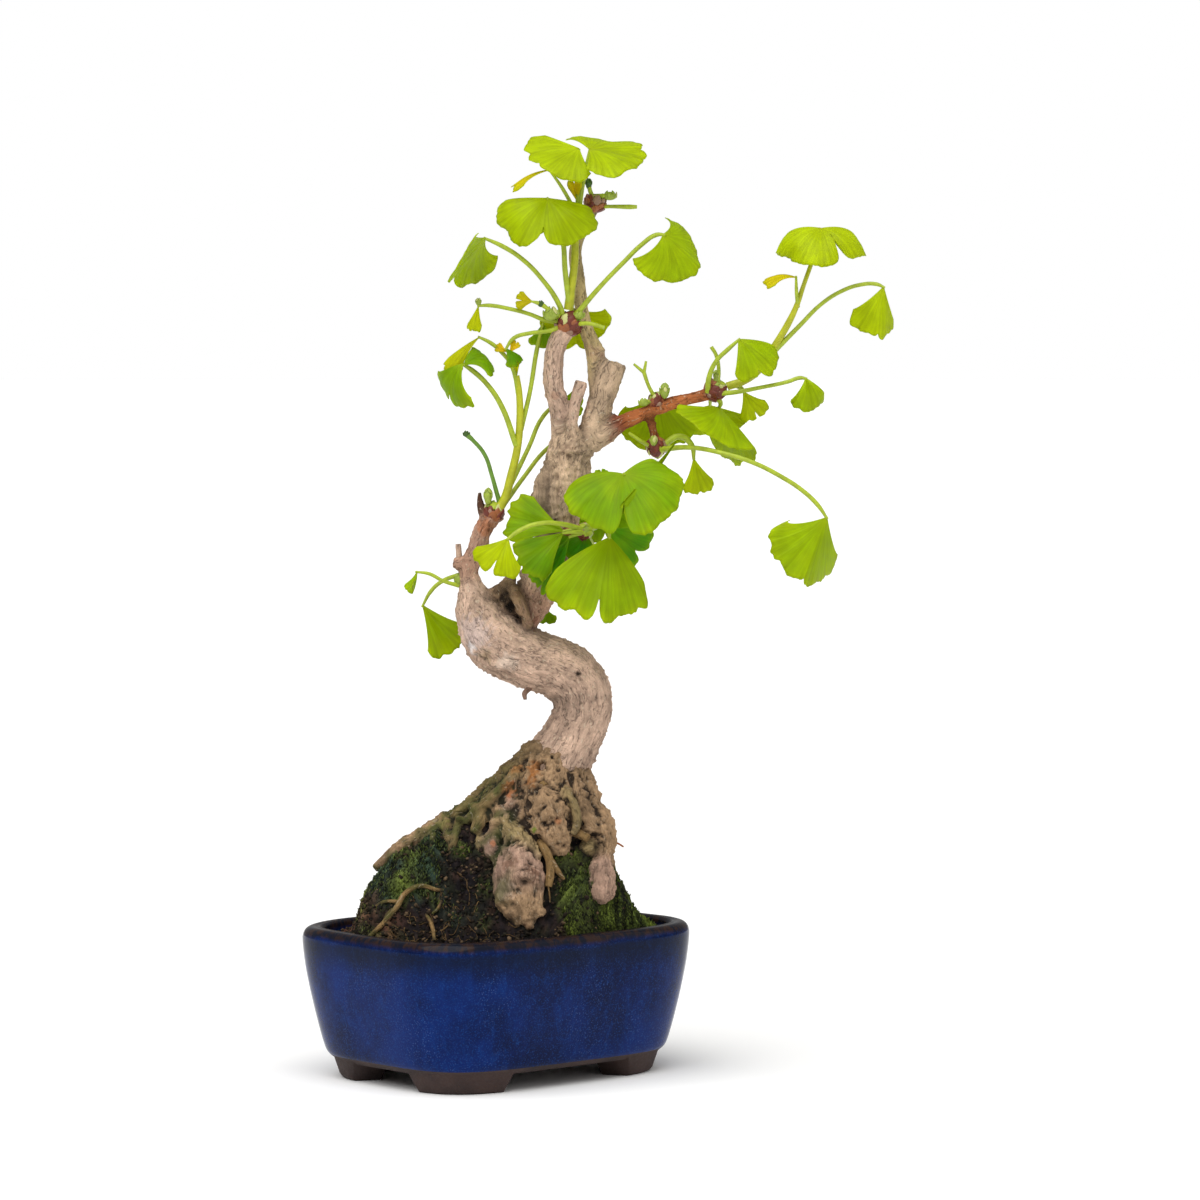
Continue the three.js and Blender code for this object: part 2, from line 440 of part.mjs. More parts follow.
// ---- foliage: the leafy growth of each spur, base, direction, face, radius and fan of every blade ----
const SPRAYS = {
  apex_spray: () => [
    cup('apex'),
    ball([47.6, -1, 369], [3.6, 2, 2.2]),
    tube([[42, 0, 369], [44.4, -1, 369], [47, -1, 369.2]].map((p) => [...p, 1.2]), 6),
    ball([38.8, -1, 374], [1.6, 1.5, 2.8]),
    stalk([[40.5, 0, 368.5, 1.1], [39.4, -1, 371, 1.1], [38.8, -1, 374, 1]]),
    stalk([[43, 0, 364.6, 1.1], [48, -2, 364.6, 0.9], [56, -3, 364.4, 1.2], [59, -3, 364.4, 0.9]]),
  ],
  top_shoot: () => [
    stalk([[30.4, -3, 321.6, 2.4], [31.4, -4, 330, 2.1], [32.8, -4, 340, 1.9], [33.2, -4, 352, 1.8],
      [34.2, -4, 366, 1.5]]),
    stalk([[34.2, -4, 364, 1.2], [34.4, -5, 375, 1.1], [34.4, -6, 388.4, 1.1]]),
    stalk([[34.6, -4, 362, 1.2], [36.5, -5, 375, 1.1], [39.6, -6, 388, 1.1]]),
    leafOn([[30.6, -4, 324, 1.4], [28.9, -7, 338, 1.3], [28, -8, 350, 1.2], [25, -9, 362, 1.1],
      [22.5, -11, 368, 1.1]],
      [-0.1, -0.75, -0.9], [0, -1, 0.6], 24.5, 182,
      { notch: 0.55, curl: -0.6, droop: 0.5, phase: 1 }),
    leaf([34.4, -6, 388.6], [-0.9, -0.4, -0.4], [0.1, -0.7, 0.7], 22.5, 125,
      { notch: 0.15, curl: -0.5, droop: 0.4, phase: 2 }),
    leaf([39.6, -6, 388.4], [1, -0.12, 0.06], [0, -0.42, 0.9], 25, 228,
      { notch: 0.15, curl: -0.4, droop: 0.3, phase: 3 }),
    leafOn([[34.4, -4, 360, 1], [27.8, -8, 372, 0.9], [22, -10, 380, 0.8]],
      [-1, -0.2, -0.42], [-0.1, -1, 0.3], 17, 85, { notch: 0.1, fold: 76, curl: 0 }),
    leaf([33.8, -4.6, 367], [-0.15, -0.2, 1], [0, -1, 0.2], 9.5, 60, { fold: 40, curl: 0, droop: 0 }),
    leafOn([[33.6, -3, 358, 1], [28, 3, 363, 1], [20, 8, 366, 1]],
      [0.05, 0.85, -0.45], [0, 0.5, 0.9], 17, 150, { droop: 0.6, phase: 2 }),
  ],
  top_spray: () => [
    cup('top'),
    leafOn([[28, -4, 319, 1.5], [26.4, -5, 323.6, 1.3], [19.4, -8, 334, 1.1], [11, -10, 342.5, 1.1],
      [2.4, -12, 348, 1.1], [-5, -13, 351.2, 1.1]],
      [-0.75, -0.25, -1], [0.3, -1, 0.1], 25, 92,
      { notch: 0.15, fold: 70, curl: 0, phase: 2 }),
    leafOn([[32.6, -5, 318, 1.4], [36, -6, 322.3, 1.3], [45.2, -8, 332.8, 1.1], [53.4, -8, 341.2, 1.1],
      [61, -8, 348.6, 1.1], [67, -8, 352.6, 1.1], [70.8, -8, 352.6, 1.1]],
      [0.2, -0.4, -1], [0.5, -0.85, 0.3], 22.5, 132,
      { notch: 0.12, curl: -0.9, droop: 0.3, shift: 0.1, phase: 1 }),
    leafOn([[27, -4, 316.4, 1.3], [20.4, -5, 317.2, 1.1], [14.1, -6, 319.6, 1], [5.7, -8, 321.8, 1],
      [-2.7, -9, 323.2, 1], [-7.7, -10, 323, 1]],
      [-0.12, -0.1, -1], [-0.3, -1, 0], 11.5, 64,
      { notch: 0.1, fold: 60, curl: 0, droop: 0, phase: 1 }),
    ball([-7.2, -10, 325], [1.6, 1.4, 2], 5, 4),
    stalk([[33, -5, 315.4, 1.1], [39.3, -9, 315.6, 1], [45.2, -10, 313.9, 1]]),
    leafOn([[27, -5, 318.4, 1], [22, -8, 321.6, 0.9], [18.8, -9, 323.7, 1.2], [14.5, -9, 325, 0.7]],
      [-1, 0, 0.12], [0, -1, 0.3], 7.5, 90, { notch: 0.4, curl: -0.3, droop: 0 }),
    ball([18.8, -9, 323.7], [1.9, 1.8, 1.9], 5, 4),
    ball([22.9, -7, 319.4], [3.8, 2.6, 3.2]),
    ball([34.8, -6.4, 319], [2.8, 2, 2]),
    leafOn([[31, 0, 318, 1.1], [31.6, 5, 321.4, 1], [32.8, 11, 321.8, 1]],
      [0.1, 0.35, -1], [0.1, -1, -0.1], 15.5, 165,
      { notch: 0.15, curl: 0.5, droop: -0.3, phase: 2 }),
    leafOn([[27, -5, 314.6, 1.1], [22.5, -7, 312.7, 1], [14.1, -9, 311.6, 1], [7.5, -10, 309.5, 1],
      [4, -10.6, 304.7, 1]],
      [0.75, -0.4, -0.65], [0.4, -0.8, 0.5], 12, 100,
      { notch: 0.1, fold: 50, curl: 0, phase: 1 }),
  ],
  left_shoot: () => [
    cup('left'),
    ball([-3.4, -5, 243.2], [2, 2, 4.2]),
    stalk([[1, -4, 238, 2.4], [3.4, -4, 242, 2.2], [6.2, -5, 252, 2], [8.8, -6, 263, 1.9],
      [10, -7, 275.3, 1.8], [9.6, -7, 287.9, 1.6], [8.8, -7, 294, 1.2]]),
    leafOn([[9.8, -7, 283.7, 1.2], [6.4, -7.4, 298.4, 1], [2.2, -7.6, 303.9, 1], [-2.2, -7.8, 307.6, 1],
      [-7.5, -8, 310.2, 1]],
      [-1, -0.2, -0.76], [0.1, -1, 0.1], 20.5, 80, { notch: 0.1, fold: 76, curl: 0 }),
    leafOn([[8.4, -7, 264.8, 1.4], [2.2, -10, 281.6, 1.3], [-4, -12, 290.8, 1.2], [-10, -13, 296.3, 1.2],
      [-13.6, -14, 298.6, 1.1]],
      [0.62, -0.5, 0.7], [-0.5, -0.5, 0.7], 16, 66,
      { notch: 0.1, curl: -0.3, droop: 2.3, phase: 1 }),
    leaf([-13.6, -14, 298.8], [-1, -0.3, -0.1], [-0.2, -0.4, 0.9], 24, 44,
      { notch: 0.15, curl: -0.4, droop: 2.1, phase: 2 }),
    stalk([[2.2, -3, 238.8, 1.3], [1.2, -4, 254.3, 1.1], [-2.6, -5, 262.7, 1], [-7, -5, 266.9, 1],
      [-12, -5, 269, 1.4]]),
    ball([-12.4, -5, 269.4], [2.6, 2.4, 2.6]),
    leafOn([[10.4, -6, 271.1, 1.2], [14.3, -4, 287.9, 1.1], [17, 1, 304.7, 1.1], [19.6, 5, 316, 1]],
      [-0.2, 0.1, -1], [-0.2, -1, -0.2], 11.5, 105,
      { notch: 0.1, curl: 0.3, droop: 0.2, phase: 1 }),
    leafOn([[5, -4, 246, 1.3], [13.4, 4, 263.5, 1.1], [20, 11, 277.4, 1.1], [28, 13, 284, 1.1]],
      [0.9, 0.3, 0.15], [0, -1, 0.3], 12, 150, { curl: 0.3, droop: 0.2, notch: 0.1 }),
    leafOn([[4, -4, 241, 1.2], [12, 6, 252, 1.1], [20, 13, 262, 1.1], [30, 16, 270, 1.1]],
      [0.2, 1, -0.3], [0, 0.4, 1], 14, 110, { curl: -0.7, droop: 0.6, phase: 2 }),
    leaf([8.7, -7, 294], [-0.25, -0.1, 1], [0, -1, 0.2], 12, 60, { fold: 40, curl: 0, droop: 0.1 }),
  ],
  lower_left_spray: () => [
    ball([-15.8, -3, 208], [2.2, 3, 3.6]),
    leafOn([[-15.8, -4, 206, 1.1], [-22.4, -6.4, 208.1, 0.9], [-27.9, -7, 211, 0.9], [-33.8, -8, 211.9, 0.9]],
      [0.02, -0.2, -1], [-1, -0.6, 0], 10.5, 80,
      { notch: 0.1, fold: 50, curl: 0, droop: -0.5, phase: 1 }),
    leafOn([[-15.8, -2, 210.4, 1.1], [-22.4, 2.4, 207.8, 1], [-27.9, 8, 203, 1], [-31.7, 12, 196.3, 1]],
      [0.62, 0.25, -0.8], [-0.2, -0.9, 0], 25, 64,
      { notch: 0.05, fold: 20, curl: 0, droop: 0.1, phase: 1 }),
  ],
  centre_spray: () => [
    cup('centre'),
    leafOn([[38, -13, 230, 1.5], [44, -18, 238, 1.2], [50, -25, 248, 1.2], [53.6, -30, 253.5, 1.2]],
      [0.22, -0.3, -1], [0, -1, 0.32], 28.5, 198,
      { notch: 0.12, curl: -0.55, droop: 0.45, shift: -0.12, phase: 1 }),
    leafOn([[38, -13, 229.4, 1.4], [42, -17, 231.4, 1.1], [46.5, -20, 230, 1.1], [47.6, -21.4, 226, 1.1]],
      [-0.1, -0.35, -1], [0.05, -1, 0.35], 34.5, 94,
      { notch: 0.24, fold: -20, curl: -0.25, droop: 0.3, phase: 2 }),
    leafOn([[38, -13, 229, 1.3], [33, -13.4, 229.6, 1.1], [28, -13, 229, 1.1]],
      [-1, 0.05, 0.22], [0, -1, 0.3], 25, 85, { notch: 0.1, curl: -0.4, droop: 0.3 }),
    leafOn([[38, -14, 228.6, 1.3], [33, -17, 229, 1.1], [27.6, -18, 228.4, 1.1]],
      [-0.5, -0.3, -0.9], [0.2, -1, 0.2], 23, 92, { notch: 0.1, droop: 0.3, phase: 2 }),
    leafOn([[38, -14, 228.6, 1.2], [34, -15.6, 228, 1.1], [30.4, -15.6, 226.6, 1.1]],
      [0.15, 0.1, -1], [0.1, -1, 0.1], 26, 56, { notch: 0.1, droop: 0.2, phase: 3 }),
    leaf([39, -13, 227.6], [0.5, 0, -0.7], [0.1, -1, 0.2], 16, 90, { notch: 0.1, droop: 0.2, phase: 3 }),
    leafOn([[37, -14, 229.6, 1.4], [27, -20, 232.4, 1.2], [18, -24, 232.6, 1.1], [10, -26, 229.7, 1.1],
      [4.9, -27, 226, 1.1]],
      [-0.28, -0.35, -0.9], [0, -1, 0.35], 18, 100,
      { notch: 0.45, shift: -0.1, phase: 1 }),
    leafOn([[39, -11, 229.6, 1.3], [44, -5, 231, 1.1], [48, 0, 229.4, 1]],
      [0.6, 0.1, -0.75], [0, -1, 0.1], 19, 105, { notch: 0.3, curl: -0.3, droop: 0.2 }),
    leafOn([[40, -12, 231, 1.3], [43, 0, 238, 1.1], [44, 13, 243, 1.1]],
      [0.1, 0.6, -0.85], [0, 0.9, 0.5], 22, 160, { droop: 0.5, phase: 2 }),
    leafOn([[39, -12, 231, 1.2], [42, -14, 240, 1], [44.6, -16, 250, 0.9]],
      [-0.1, 0, 1], [0, -1, 0.1], 6.4, 70, { curl: 0, droop: 0 }),
    leafOn([[38.6, -10, 227, 1.1], [40.5, 3, 220, 1], [34, 13, 210, 0.9], [24, 14.6, 200, 0.9],
      [20.7, 13, 194, 0.9]],
      [-0.1, 0, -1], [0, -1, 0], 6.5, 130, { notch: 0.3, curl: 0.8, droop: 0.2 }),
  ],
  inner_right_spray: () => [
    cup('innerRight'),
    stalk([[66.6, -2, 284.6, 1], [63.7, -4, 290, 0.9], [61.6, -4, 296.3, 1]]),
    stalk([[61.9, -4, 295.2, 0.9], [57.6, -4, 298.8, 0.6]]),
    stalk([[61.9, -4, 295.2, 0.9], [62.8, -4, 300, 0.6]]),
    ball([70.6, -3, 287.4], [2.4, 2.2, 3.8]),
    ball([61.8, -3, 282.6], [2.6, 1.8, 1.8]),
    stalk([[63.4, -2.6, 283, 1], [66, -2, 284, 1.2]]),
    leafOn([[68, 1, 284.6, 1.3], [68, 8, 286.4, 1.1], [68, 13, 286, 1.1]],
      [-0.1, 0.15, -1], [0, -1, -0.1], 25.5, 138,
      { notch: 0.35, curl: 0.9, droop: -0.2, phase: 2 }),
  ],
  right_spray: () => [
    cup('right'),
    leafOn([[92, -3, 285, 1.4], [94, -2, 282.6, 1.2], [93.4, 0, 280.2, 1.2]],
      [-0.25, -0.95, -0.5], [0.1, -0.5, 0.9], 25, 196,
      { notch: 0.1, curl: -0.45, droop: 0.2, phase: 2 }),
    leafOn([[93, -4, 286.6, 1.4], [98.1, -6, 286.8, 1.2], [110.7, -8, 289, 1], [123.3, -9, 290.9, 1],
      [127.5, -9, 291.4, 1]],
      [0.7, -0.2, 0.62], [-0.6, -0.1, 0.8], 18, 72,
      { notch: 0.15, curl: -0.4, droop: 2.5, phase: 1 }),
    leafOn([[88.6, -5, 287, 1.4], [89, -8, 292.9, 1.3], [91.8, -10, 299.7, 1.1], [97, -12, 305, 1.1],
      [101.9, -13, 309.3, 1.1]],
      [0.55, -0.45, -0.85], [0.1, -0.75, 0.65], 19.5, 118,
      { notch: 0.35, curl: -0.7, droop: 0.5, phase: 1 }),
    stalk([[92.6, -4, 290, 1], [93.2, -5, 296, 0.9], [92, -5, 302.6, 0.9], [90, -5, 306, 0.9]]),
    ball([92, -5, 293.4], [1.3, 1.3, 3.4]),
    leafOn([[90, 0, 286, 1.3], [90, 9, 284, 1.1], [90, 15, 281, 1.1]],
      [0, 0.8, -0.5], [0, 0.5, 0.8], 18.5, 150, { droop: 0.5, phase: 1 }),
  ],
  right_shoot: () => [
    stalk([[96.8, -0.6, 289.4, 2.1], [104.4, -1, 292.1, 2], [110.7, -1, 297.1, 2], [117, -2, 306.8, 1.8],
      [122, -3, 315.2, 1.7], [125.4, -4, 322.3, 1.4], [128.8, -3, 332, 1.1], [133, -1, 344, 1.1],
      [136, -3, 355.6, 1.1]]),
    leafOn([[100, 0, 290, 1.2], [103, 1.4, 288.4, 1.1], [104, 1.6, 286.6, 1]],
      [0.5, 0.1, -0.85], [0, -1, 0.1], 14, 74, { notch: 0.3, droop: 0.2, phase: 1 }),
    leaf([136, -3, 355.4], [0, -0.9, -0.45], [0, -0.42, 0.9], 22.5, 208,
      { notch: 0.45, curl: -0.9, droop: 0.7, shift: 0.3, phase: 1 }),
    leafOn([[125, -4.4, 324, 1], [125.6, -6, 329, 0.9], [125.4, -6, 335.6, 0.9]],
      [-1, -0.25, 0.15], [0.1, -0.4, 0.92], 14.5, 96,
      { notch: 0.15, curl: -0.8, droop: 0.9, phase: 1 }),
    leafOn([[116, -2, 303.6, 1.3], [127.5, -1, 315.2, 1.1], [135.9, 0, 323.6, 1], [144.3, 0, 329.1, 1],
      [152.7, 0, 332, 1], [159.4, 0, 332.2, 1], [162.8, -1, 330.7, 1]],
      [-0.36, -0.3, -1], [-0.1, -0.9, 0.3], 22.5, 78,
      { notch: 0.06, fold: -15, curl: -0.4, droop: 0.2, phase: 3 }),
  ],
  lower_right_spray: () => [
    cup('lowerRight'),
    leafOn([[68.6, 0, 263, 1.5], [81.3, -14, 264, 1.2], [93.9, -24, 261.9, 1.1], [106.5, -26, 258.1, 1.1],
      [119.1, -25, 251.8, 1.1], [127.5, -23, 246.3, 1.1], [133.8, -22, 240.4, 1.1], [138, -22, 234.4, 1.1]],
      [-0.5, -0.35, -0.95], [0, -1, 0.25], 29, 92,
      { notch: 0.08, curl: -0.6, droop: 0.3, phase: 2 }),
    leafOn([[70, 1, 264.6, 1.6], [77, 3, 268.4, 1.6], [82, 4, 264.8, 1.4], [83, 4, 258.5, 1.2]],
      [0.18, 0, -1], [0.1, -1, 0], 16, 60, { notch: 0.15, curl: -0.3, droop: 0.2 }),
    stalk([[65, 0, 264, 1], [60, -4, 267, 0.8], [55.6, -5, 270, 0.7]]),
    ball([66, -3, 266.6], [1.8, 1.4, 2.6], 5, 4),
  ],
};
const YELLOW_SPRAYS = ['top_shoot', 'right_shoot'];

// ---- assembly ----
const bonsai = new THREE.Group();
bonsai.add(meshOf('pot', pot(), COBALT));
bonsai.add(meshOf('drain_screen_left', drainScreen(-1), MESH_GREY));
bonsai.add(meshOf('drain_screen_right', drainScreen(1), MESH_GREY));

const tree = new THREE.Group();
tree.rotation.z = VIEW_TURN;
bonsai.add(tree);

const grownWood = wood(GAP);
const screenRoom = [-1, 1].map((side) => {
  const room = block([SCREEN_SIDE + 1, SCREEN_SIDE + 1, 4], [(side * DRAIN_SPACING) / 2, 0, FLOOR_TOP]);
  return room.rotate([0, 0, THREE.MathUtils.radToDeg(-VIEW_TURN)]);
});
tree.add(meshOf('soil', soilBody().subtract(join([grownWood, ...screenRoom])), DARK_SOIL));
tree.add(meshOf('wood', wood(0).subtract(oldCut()), BARK));
for (const [name, pieces] of Object.entries(SPRAYS)) {
  const look = YELLOW_SPRAYS.includes(name) ? LEAF_YELLOW : LEAF_GREEN;
  tree.add(meshOf(name, join(pieces()).subtract(grownWood), look));
}

// The origin is the middle of the bottom of the whole part's box.
bonsai.updateMatrixWorld(true);
const bounds = new THREE.Box3().setFromObject(bonsai, true);
bonsai.position.set(-(bounds.min.x + bounds.max.x) / 2, -(bounds.min.y + bounds.max.y) / 2, -bounds.min.z);

export default bonsai;
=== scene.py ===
"""A ginkgo bonsai in a blue glazed pot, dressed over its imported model."""

import json
import math
import random

import bmesh
import bpy
import numpy as np
from mathutils import Matrix, Vector, noise

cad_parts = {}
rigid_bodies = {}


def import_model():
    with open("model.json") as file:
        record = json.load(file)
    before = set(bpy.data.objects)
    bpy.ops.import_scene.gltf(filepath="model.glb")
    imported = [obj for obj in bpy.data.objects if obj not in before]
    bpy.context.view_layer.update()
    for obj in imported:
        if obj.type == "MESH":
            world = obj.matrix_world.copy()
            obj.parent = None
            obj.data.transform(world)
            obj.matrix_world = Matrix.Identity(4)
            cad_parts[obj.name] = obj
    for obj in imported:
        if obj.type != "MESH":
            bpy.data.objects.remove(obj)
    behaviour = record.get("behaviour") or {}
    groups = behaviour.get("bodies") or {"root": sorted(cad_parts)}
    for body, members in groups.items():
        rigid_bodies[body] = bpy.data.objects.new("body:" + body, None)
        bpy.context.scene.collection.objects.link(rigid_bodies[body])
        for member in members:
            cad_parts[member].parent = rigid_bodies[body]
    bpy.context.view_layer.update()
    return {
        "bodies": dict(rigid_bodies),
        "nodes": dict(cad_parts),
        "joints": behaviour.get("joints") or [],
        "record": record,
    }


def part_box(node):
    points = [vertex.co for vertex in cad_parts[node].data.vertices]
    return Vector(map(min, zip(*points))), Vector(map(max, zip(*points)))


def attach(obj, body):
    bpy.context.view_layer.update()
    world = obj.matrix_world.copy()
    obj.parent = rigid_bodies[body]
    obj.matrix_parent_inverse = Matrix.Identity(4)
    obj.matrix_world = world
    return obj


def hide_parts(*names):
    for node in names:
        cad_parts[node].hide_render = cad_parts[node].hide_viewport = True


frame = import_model()
collection = bpy.context.scene.collection
NOISE_SEED = 1795505259
noise.seed_set(NOISE_SEED)  # or the vector noise would follow the clock, and the bark differ in each run

# ---- driving dimensions, in millimetres in the tree's own frame unless a name says otherwise ----
MM = 0.001
VIEW_TURN = math.radians(-42)  # the tree's frame against the pot
POT_HALF_LENGTH = 75
POT_HALF_WIDTH = 59.5
POT_CORNER_POWER = 4.2  # 2 is an ellipse, higher is squarer
POT_SPOKES = 144
CLAY_TOP = 10.2  # height below which the clay is bare
DARK_BAND_UNDER_LIP = (0.047, 0.059, 0.0625)  # in metres: where the darker band under the lip starts, is full and ends
BROWN_LIP = (0.0605, 0.0632)  # in metres: where the glaze turns brown
FOOT_HEIGHT = 8.6
FOOT_REACH = (0.1, 1.36)  # the start and end of a foot round its corner, in radians
FOOT_SLANT = 0.1  # how much shorter its underside is at each end, in radians
FOOT_STEPS = 16
FLOOR_TOP = 15
DRAIN_RADIUS = 6
DRAIN_SPACING = 62
GAP = 0.3
SOIL_EDGE_HEIGHT = 57.5
SOIL_INSET = 7.5  # where the soil's top meets the pot's wall
SOIL_WALL = ((8.9, 42), (11.4, 24), (13.9, 17.5), (16.9, FLOOR_TOP + GAP))  # inset and height, downward
SOIL_GRID = (170, 150)
SOIL_LUMPS = 2  # height of the soil's lumps and clods
MOSS_TUFTS = 15500
CRUMBS = 6500
FINE_ROOTS = 36
DRAWS = 60  # how often a place is drawn again before a tuft or crumb is given up
BLADE_THICKNESS = 0.35
MOUND_CREST = 5  # half width of the mound's rounded top
MOUND_FOOT = 52  # how far its foot lies in front of and behind the top
MOUND_RIDGE = [  # height of the top from left to right
    (-78, 57), (-61, 60), (-56, 74), (-51, 82), (-45, 90), (-38, 95), (-25, 102), (-5, 110),
    (18, 113), (36, 105), (45, 92), (50, 83), (56, 72), (61, 64), (70, 58), (80, 57),
]
TRUNK_GRID = 0.7  # edge of the squares of the trunk's fine skin
CROWN_GRID = 0.62  # the same on the root crown
SMOOTHINGS = 6
FIBRE_STEPS = 8  # points of a limb's fibres between two given points
FIBRE_BATCH = 4000  # places worked out at a time
FIBRE_BLEND = 1.2  # the higher, the more sharply one limb's fibres give way to the next one's
FINE_ROUNDS, BROAD_ROUNDS = 24, 110  # how widely fine and broad hollows are looked for
BLADE_COLUMN = 0.7  # width of a leaf's squares at its edge
BLADE_ROW = 1.4  # length of a leaf's squares
CAMERA_PLACE = (43.5, -2000, 293)
CAMERA_TILT = math.radians(2.67)  # downward
CAMERA_LENS = 142.9
FLOOR_HALF_SIZE = 400  # in metres

pot_low, pot_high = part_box("pot")
POT_MIDDLE = Vector(((pot_low[0] + pot_high[0]) / 2, (pot_low[1] + pot_high[1]) / 2, 0))
POT_PLACE = Matrix.Translation(POT_MIDDLE) @ Matrix.Scale(MM, 4)
TREE_TURN = Matrix.Rotation(VIEW_TURN, 4, "Z")
TREE_PLACE = Matrix.Translation(POT_MIDDLE) @ TREE_TURN @ Matrix.Scale(MM, 4)


def paint(code):
    """The linear colour of a hex code."""
    parts = [int(code[i : i + 2], 16) / 255 for i in (0, 2, 4)]
    return Vector([p / 12.92 if p <= 0.04045 else ((p + 0.055) / 1.055) ** 2.4 for p in parts] + [1])


BARK = paint("b29682")
BARK_PALE = paint("d6c3b2")
BARK_GROOVE = paint("8f7261")
THIN_BARK = paint("a8946a")
LEADER_BARK = paint("af967c")
RED_BARK = paint("9a5a33")
RUSSET = paint("9c7a66")
SCALE_BROWN = paint("6e3020")
ROOT_BARK = paint("8a7054")
RIDGE_BARK = paint("6f5d3c")
LICHEN = paint("7c6b49")
ROOT_PINK = paint("8f7463")
ROOT_DARK = paint("2a2019")
RUST = paint("8a5526")
PITCH = paint("0d0a08")
MOSS = paint("3a441b")
MOSS_BRIGHT = paint("66722a")
MOSS_DARK = paint("1b2014")
MOSS_COOL = paint("24332a")
HUMUS = paint("120e10")
HUMUS_BROWN = paint("2c1f18")
LITTER = paint("56392a")
FINE_ROOT = paint("7d633e")
LEAF_YELLOW = paint("c4d400")
LEAF_GREEN = paint("60a005")
STALK = paint("a3b42c")
SHOOT_STEM = paint("b0b322")
BUD_GREEN = paint("94a63c")
BUD_CREAM = paint("c3c37c")
BUD_DARK = paint("3c5a1e")
DARK_STALK = paint("63892c")
ORANGE = paint("ecc40c")


# ---- camera, lights and floor ----
def set_camera():
    data = bpy.data.cameras.new("camera")
    data.lens = CAMERA_LENS
    camera = bpy.data.objects.new("camera", data)
    place = Matrix.Translation(TREE_PLACE @ Vector(CAMERA_PLACE))
    camera.matrix_world = place @ TREE_TURN @ Matrix.Rotation(math.pi / 2 - CAMERA_TILT, 4, "X")
    collection.objects.link(camera)
    bpy.context.scene.camera = camera


def add_sun(name, direction, strength, spread):
    """A broad soft light that shines along a direction of the tree's frame, its spread in degrees."""
    data = bpy.data.lights.new(name, "SUN")
    data.energy = strength
    data.angle = math.radians(spread)
    light = bpy.data.objects.new(name, data)
    way = TREE_TURN.to_3x3() @ Vector(direction)
    light.rotation_euler = way.to_track_quat("-Z", "Y").to_euler()
    collection.objects.link(light)


def set_studio():
    scene = bpy.context.scene
    scene.view_settings.view_transform = "Standard"
    world = bpy.data.worlds.new("studio")
    world.use_nodes = True
    tree = world.node_tree
    # the white surroundings light the tree more softly than they look
    seen = node(tree, "LightPath")
    background = tree.nodes["Background"]
    background.inputs["Color"].default_value = (1, 1, 1, 1)
    strength = node(tree, "MapRange", {"Value": seen, "To Min": 0.3, "To Max": 1.0})
    tree.links.new(strength, background.inputs["Strength"])
    scene.world = world
    add_sun("key_light", (0.3, 0.5, -1), 2.9, 70)
    add_sun("fill_light", (-0.8, 0.5, -0.7), 0.7, 90)
    bm = bmesh.new()
    bmesh.ops.create_grid(bm, x_segments=1, y_segments=1, size=FLOOR_HALF_SIZE)
    floor = bpy.data.objects.new("floor", as_mesh(bm, "floor"))
    tree = new_material("floor_white")
    principled(tree, {"Base Color": (0.95, 0.945, 0.935, 1), "Roughness": 0.6, "Specular IOR Level": 0})
    floor.data.materials.append(bpy.data.materials["floor_white"])
    collection.objects.link(floor)


# ---- materials ----
def new_material(name):
    made = bpy.data.materials.new(name)
    made.use_nodes = True
    return made.node_tree


def principled(tree, inputs):
    shader = tree.nodes["Principled BSDF"]
    fill(tree, shader, inputs)
    return shader


def fill(tree, made, inputs):
    """Sets a shader node's inputs to values, or links them to sockets."""
    for key, value in inputs.items():
        if isinstance(value, bpy.types.NodeSocket):
            tree.links.new(value, made.inputs[key])
        else:
            made.inputs[key].default_value = value


def node(tree, kind, inputs=None, output=0, **settings):
    """Adds a shader node, with its inputs as values or sockets, and gives one of its outputs."""
    made = tree.nodes.new("ShaderNode" + kind)
    for key, value in settings.items():
        setattr(made, key, value)
    fill(tree, made, inputs or {})
    return made.outputs[output]


def mixed(tree, factor, a, b):
    return node(tree, "Mix", {0: factor, 6: a, 7: b}, 2, data_type="RGBA")


def maths(tree, operation, a, b=0.0):
    return node(tree, "Math", {0: a, 1: b}, operation=operation)


def times(tree, a, b):
    return maths(tree, "MULTIPLY", a, b)


def scaled(tree, colour, factor):
    return node(tree, "VectorMath", {0: colour, "Scale": factor}, operation="SCALE")


def stepped(tree, value, start, end, low=0.0, high=1.0):
    """A smooth step from low to high while a value goes from start to end."""
    inputs = {"Value": value, "From Min": start, "From Max": end, "To Min": low, "To Max": high}
    return node(tree, "MapRange", inputs, interpolation_type="SMOOTHSTEP")


def cloud(tree, place, scale, detail=4.0, roughness=0.55):
    return node(tree, "TexNoise", {"Vector": place, "Scale": scale, "Detail": detail, "Roughness": roughness})


def stretched(tree, place, scale):
    return node(tree, "Mapping", {"Vector": place, "Scale": scale})


def bumped(tree, height, strength, distance):
    return node(tree, "Bump", {"Height": height, "Strength": strength, "Distance": distance})


def named(tree, name, output=0):
    return node(tree, "Attribute", output=output, attribute_name=name)


def object_place(tree):
    return node(tree, "TexCoord", output=3)


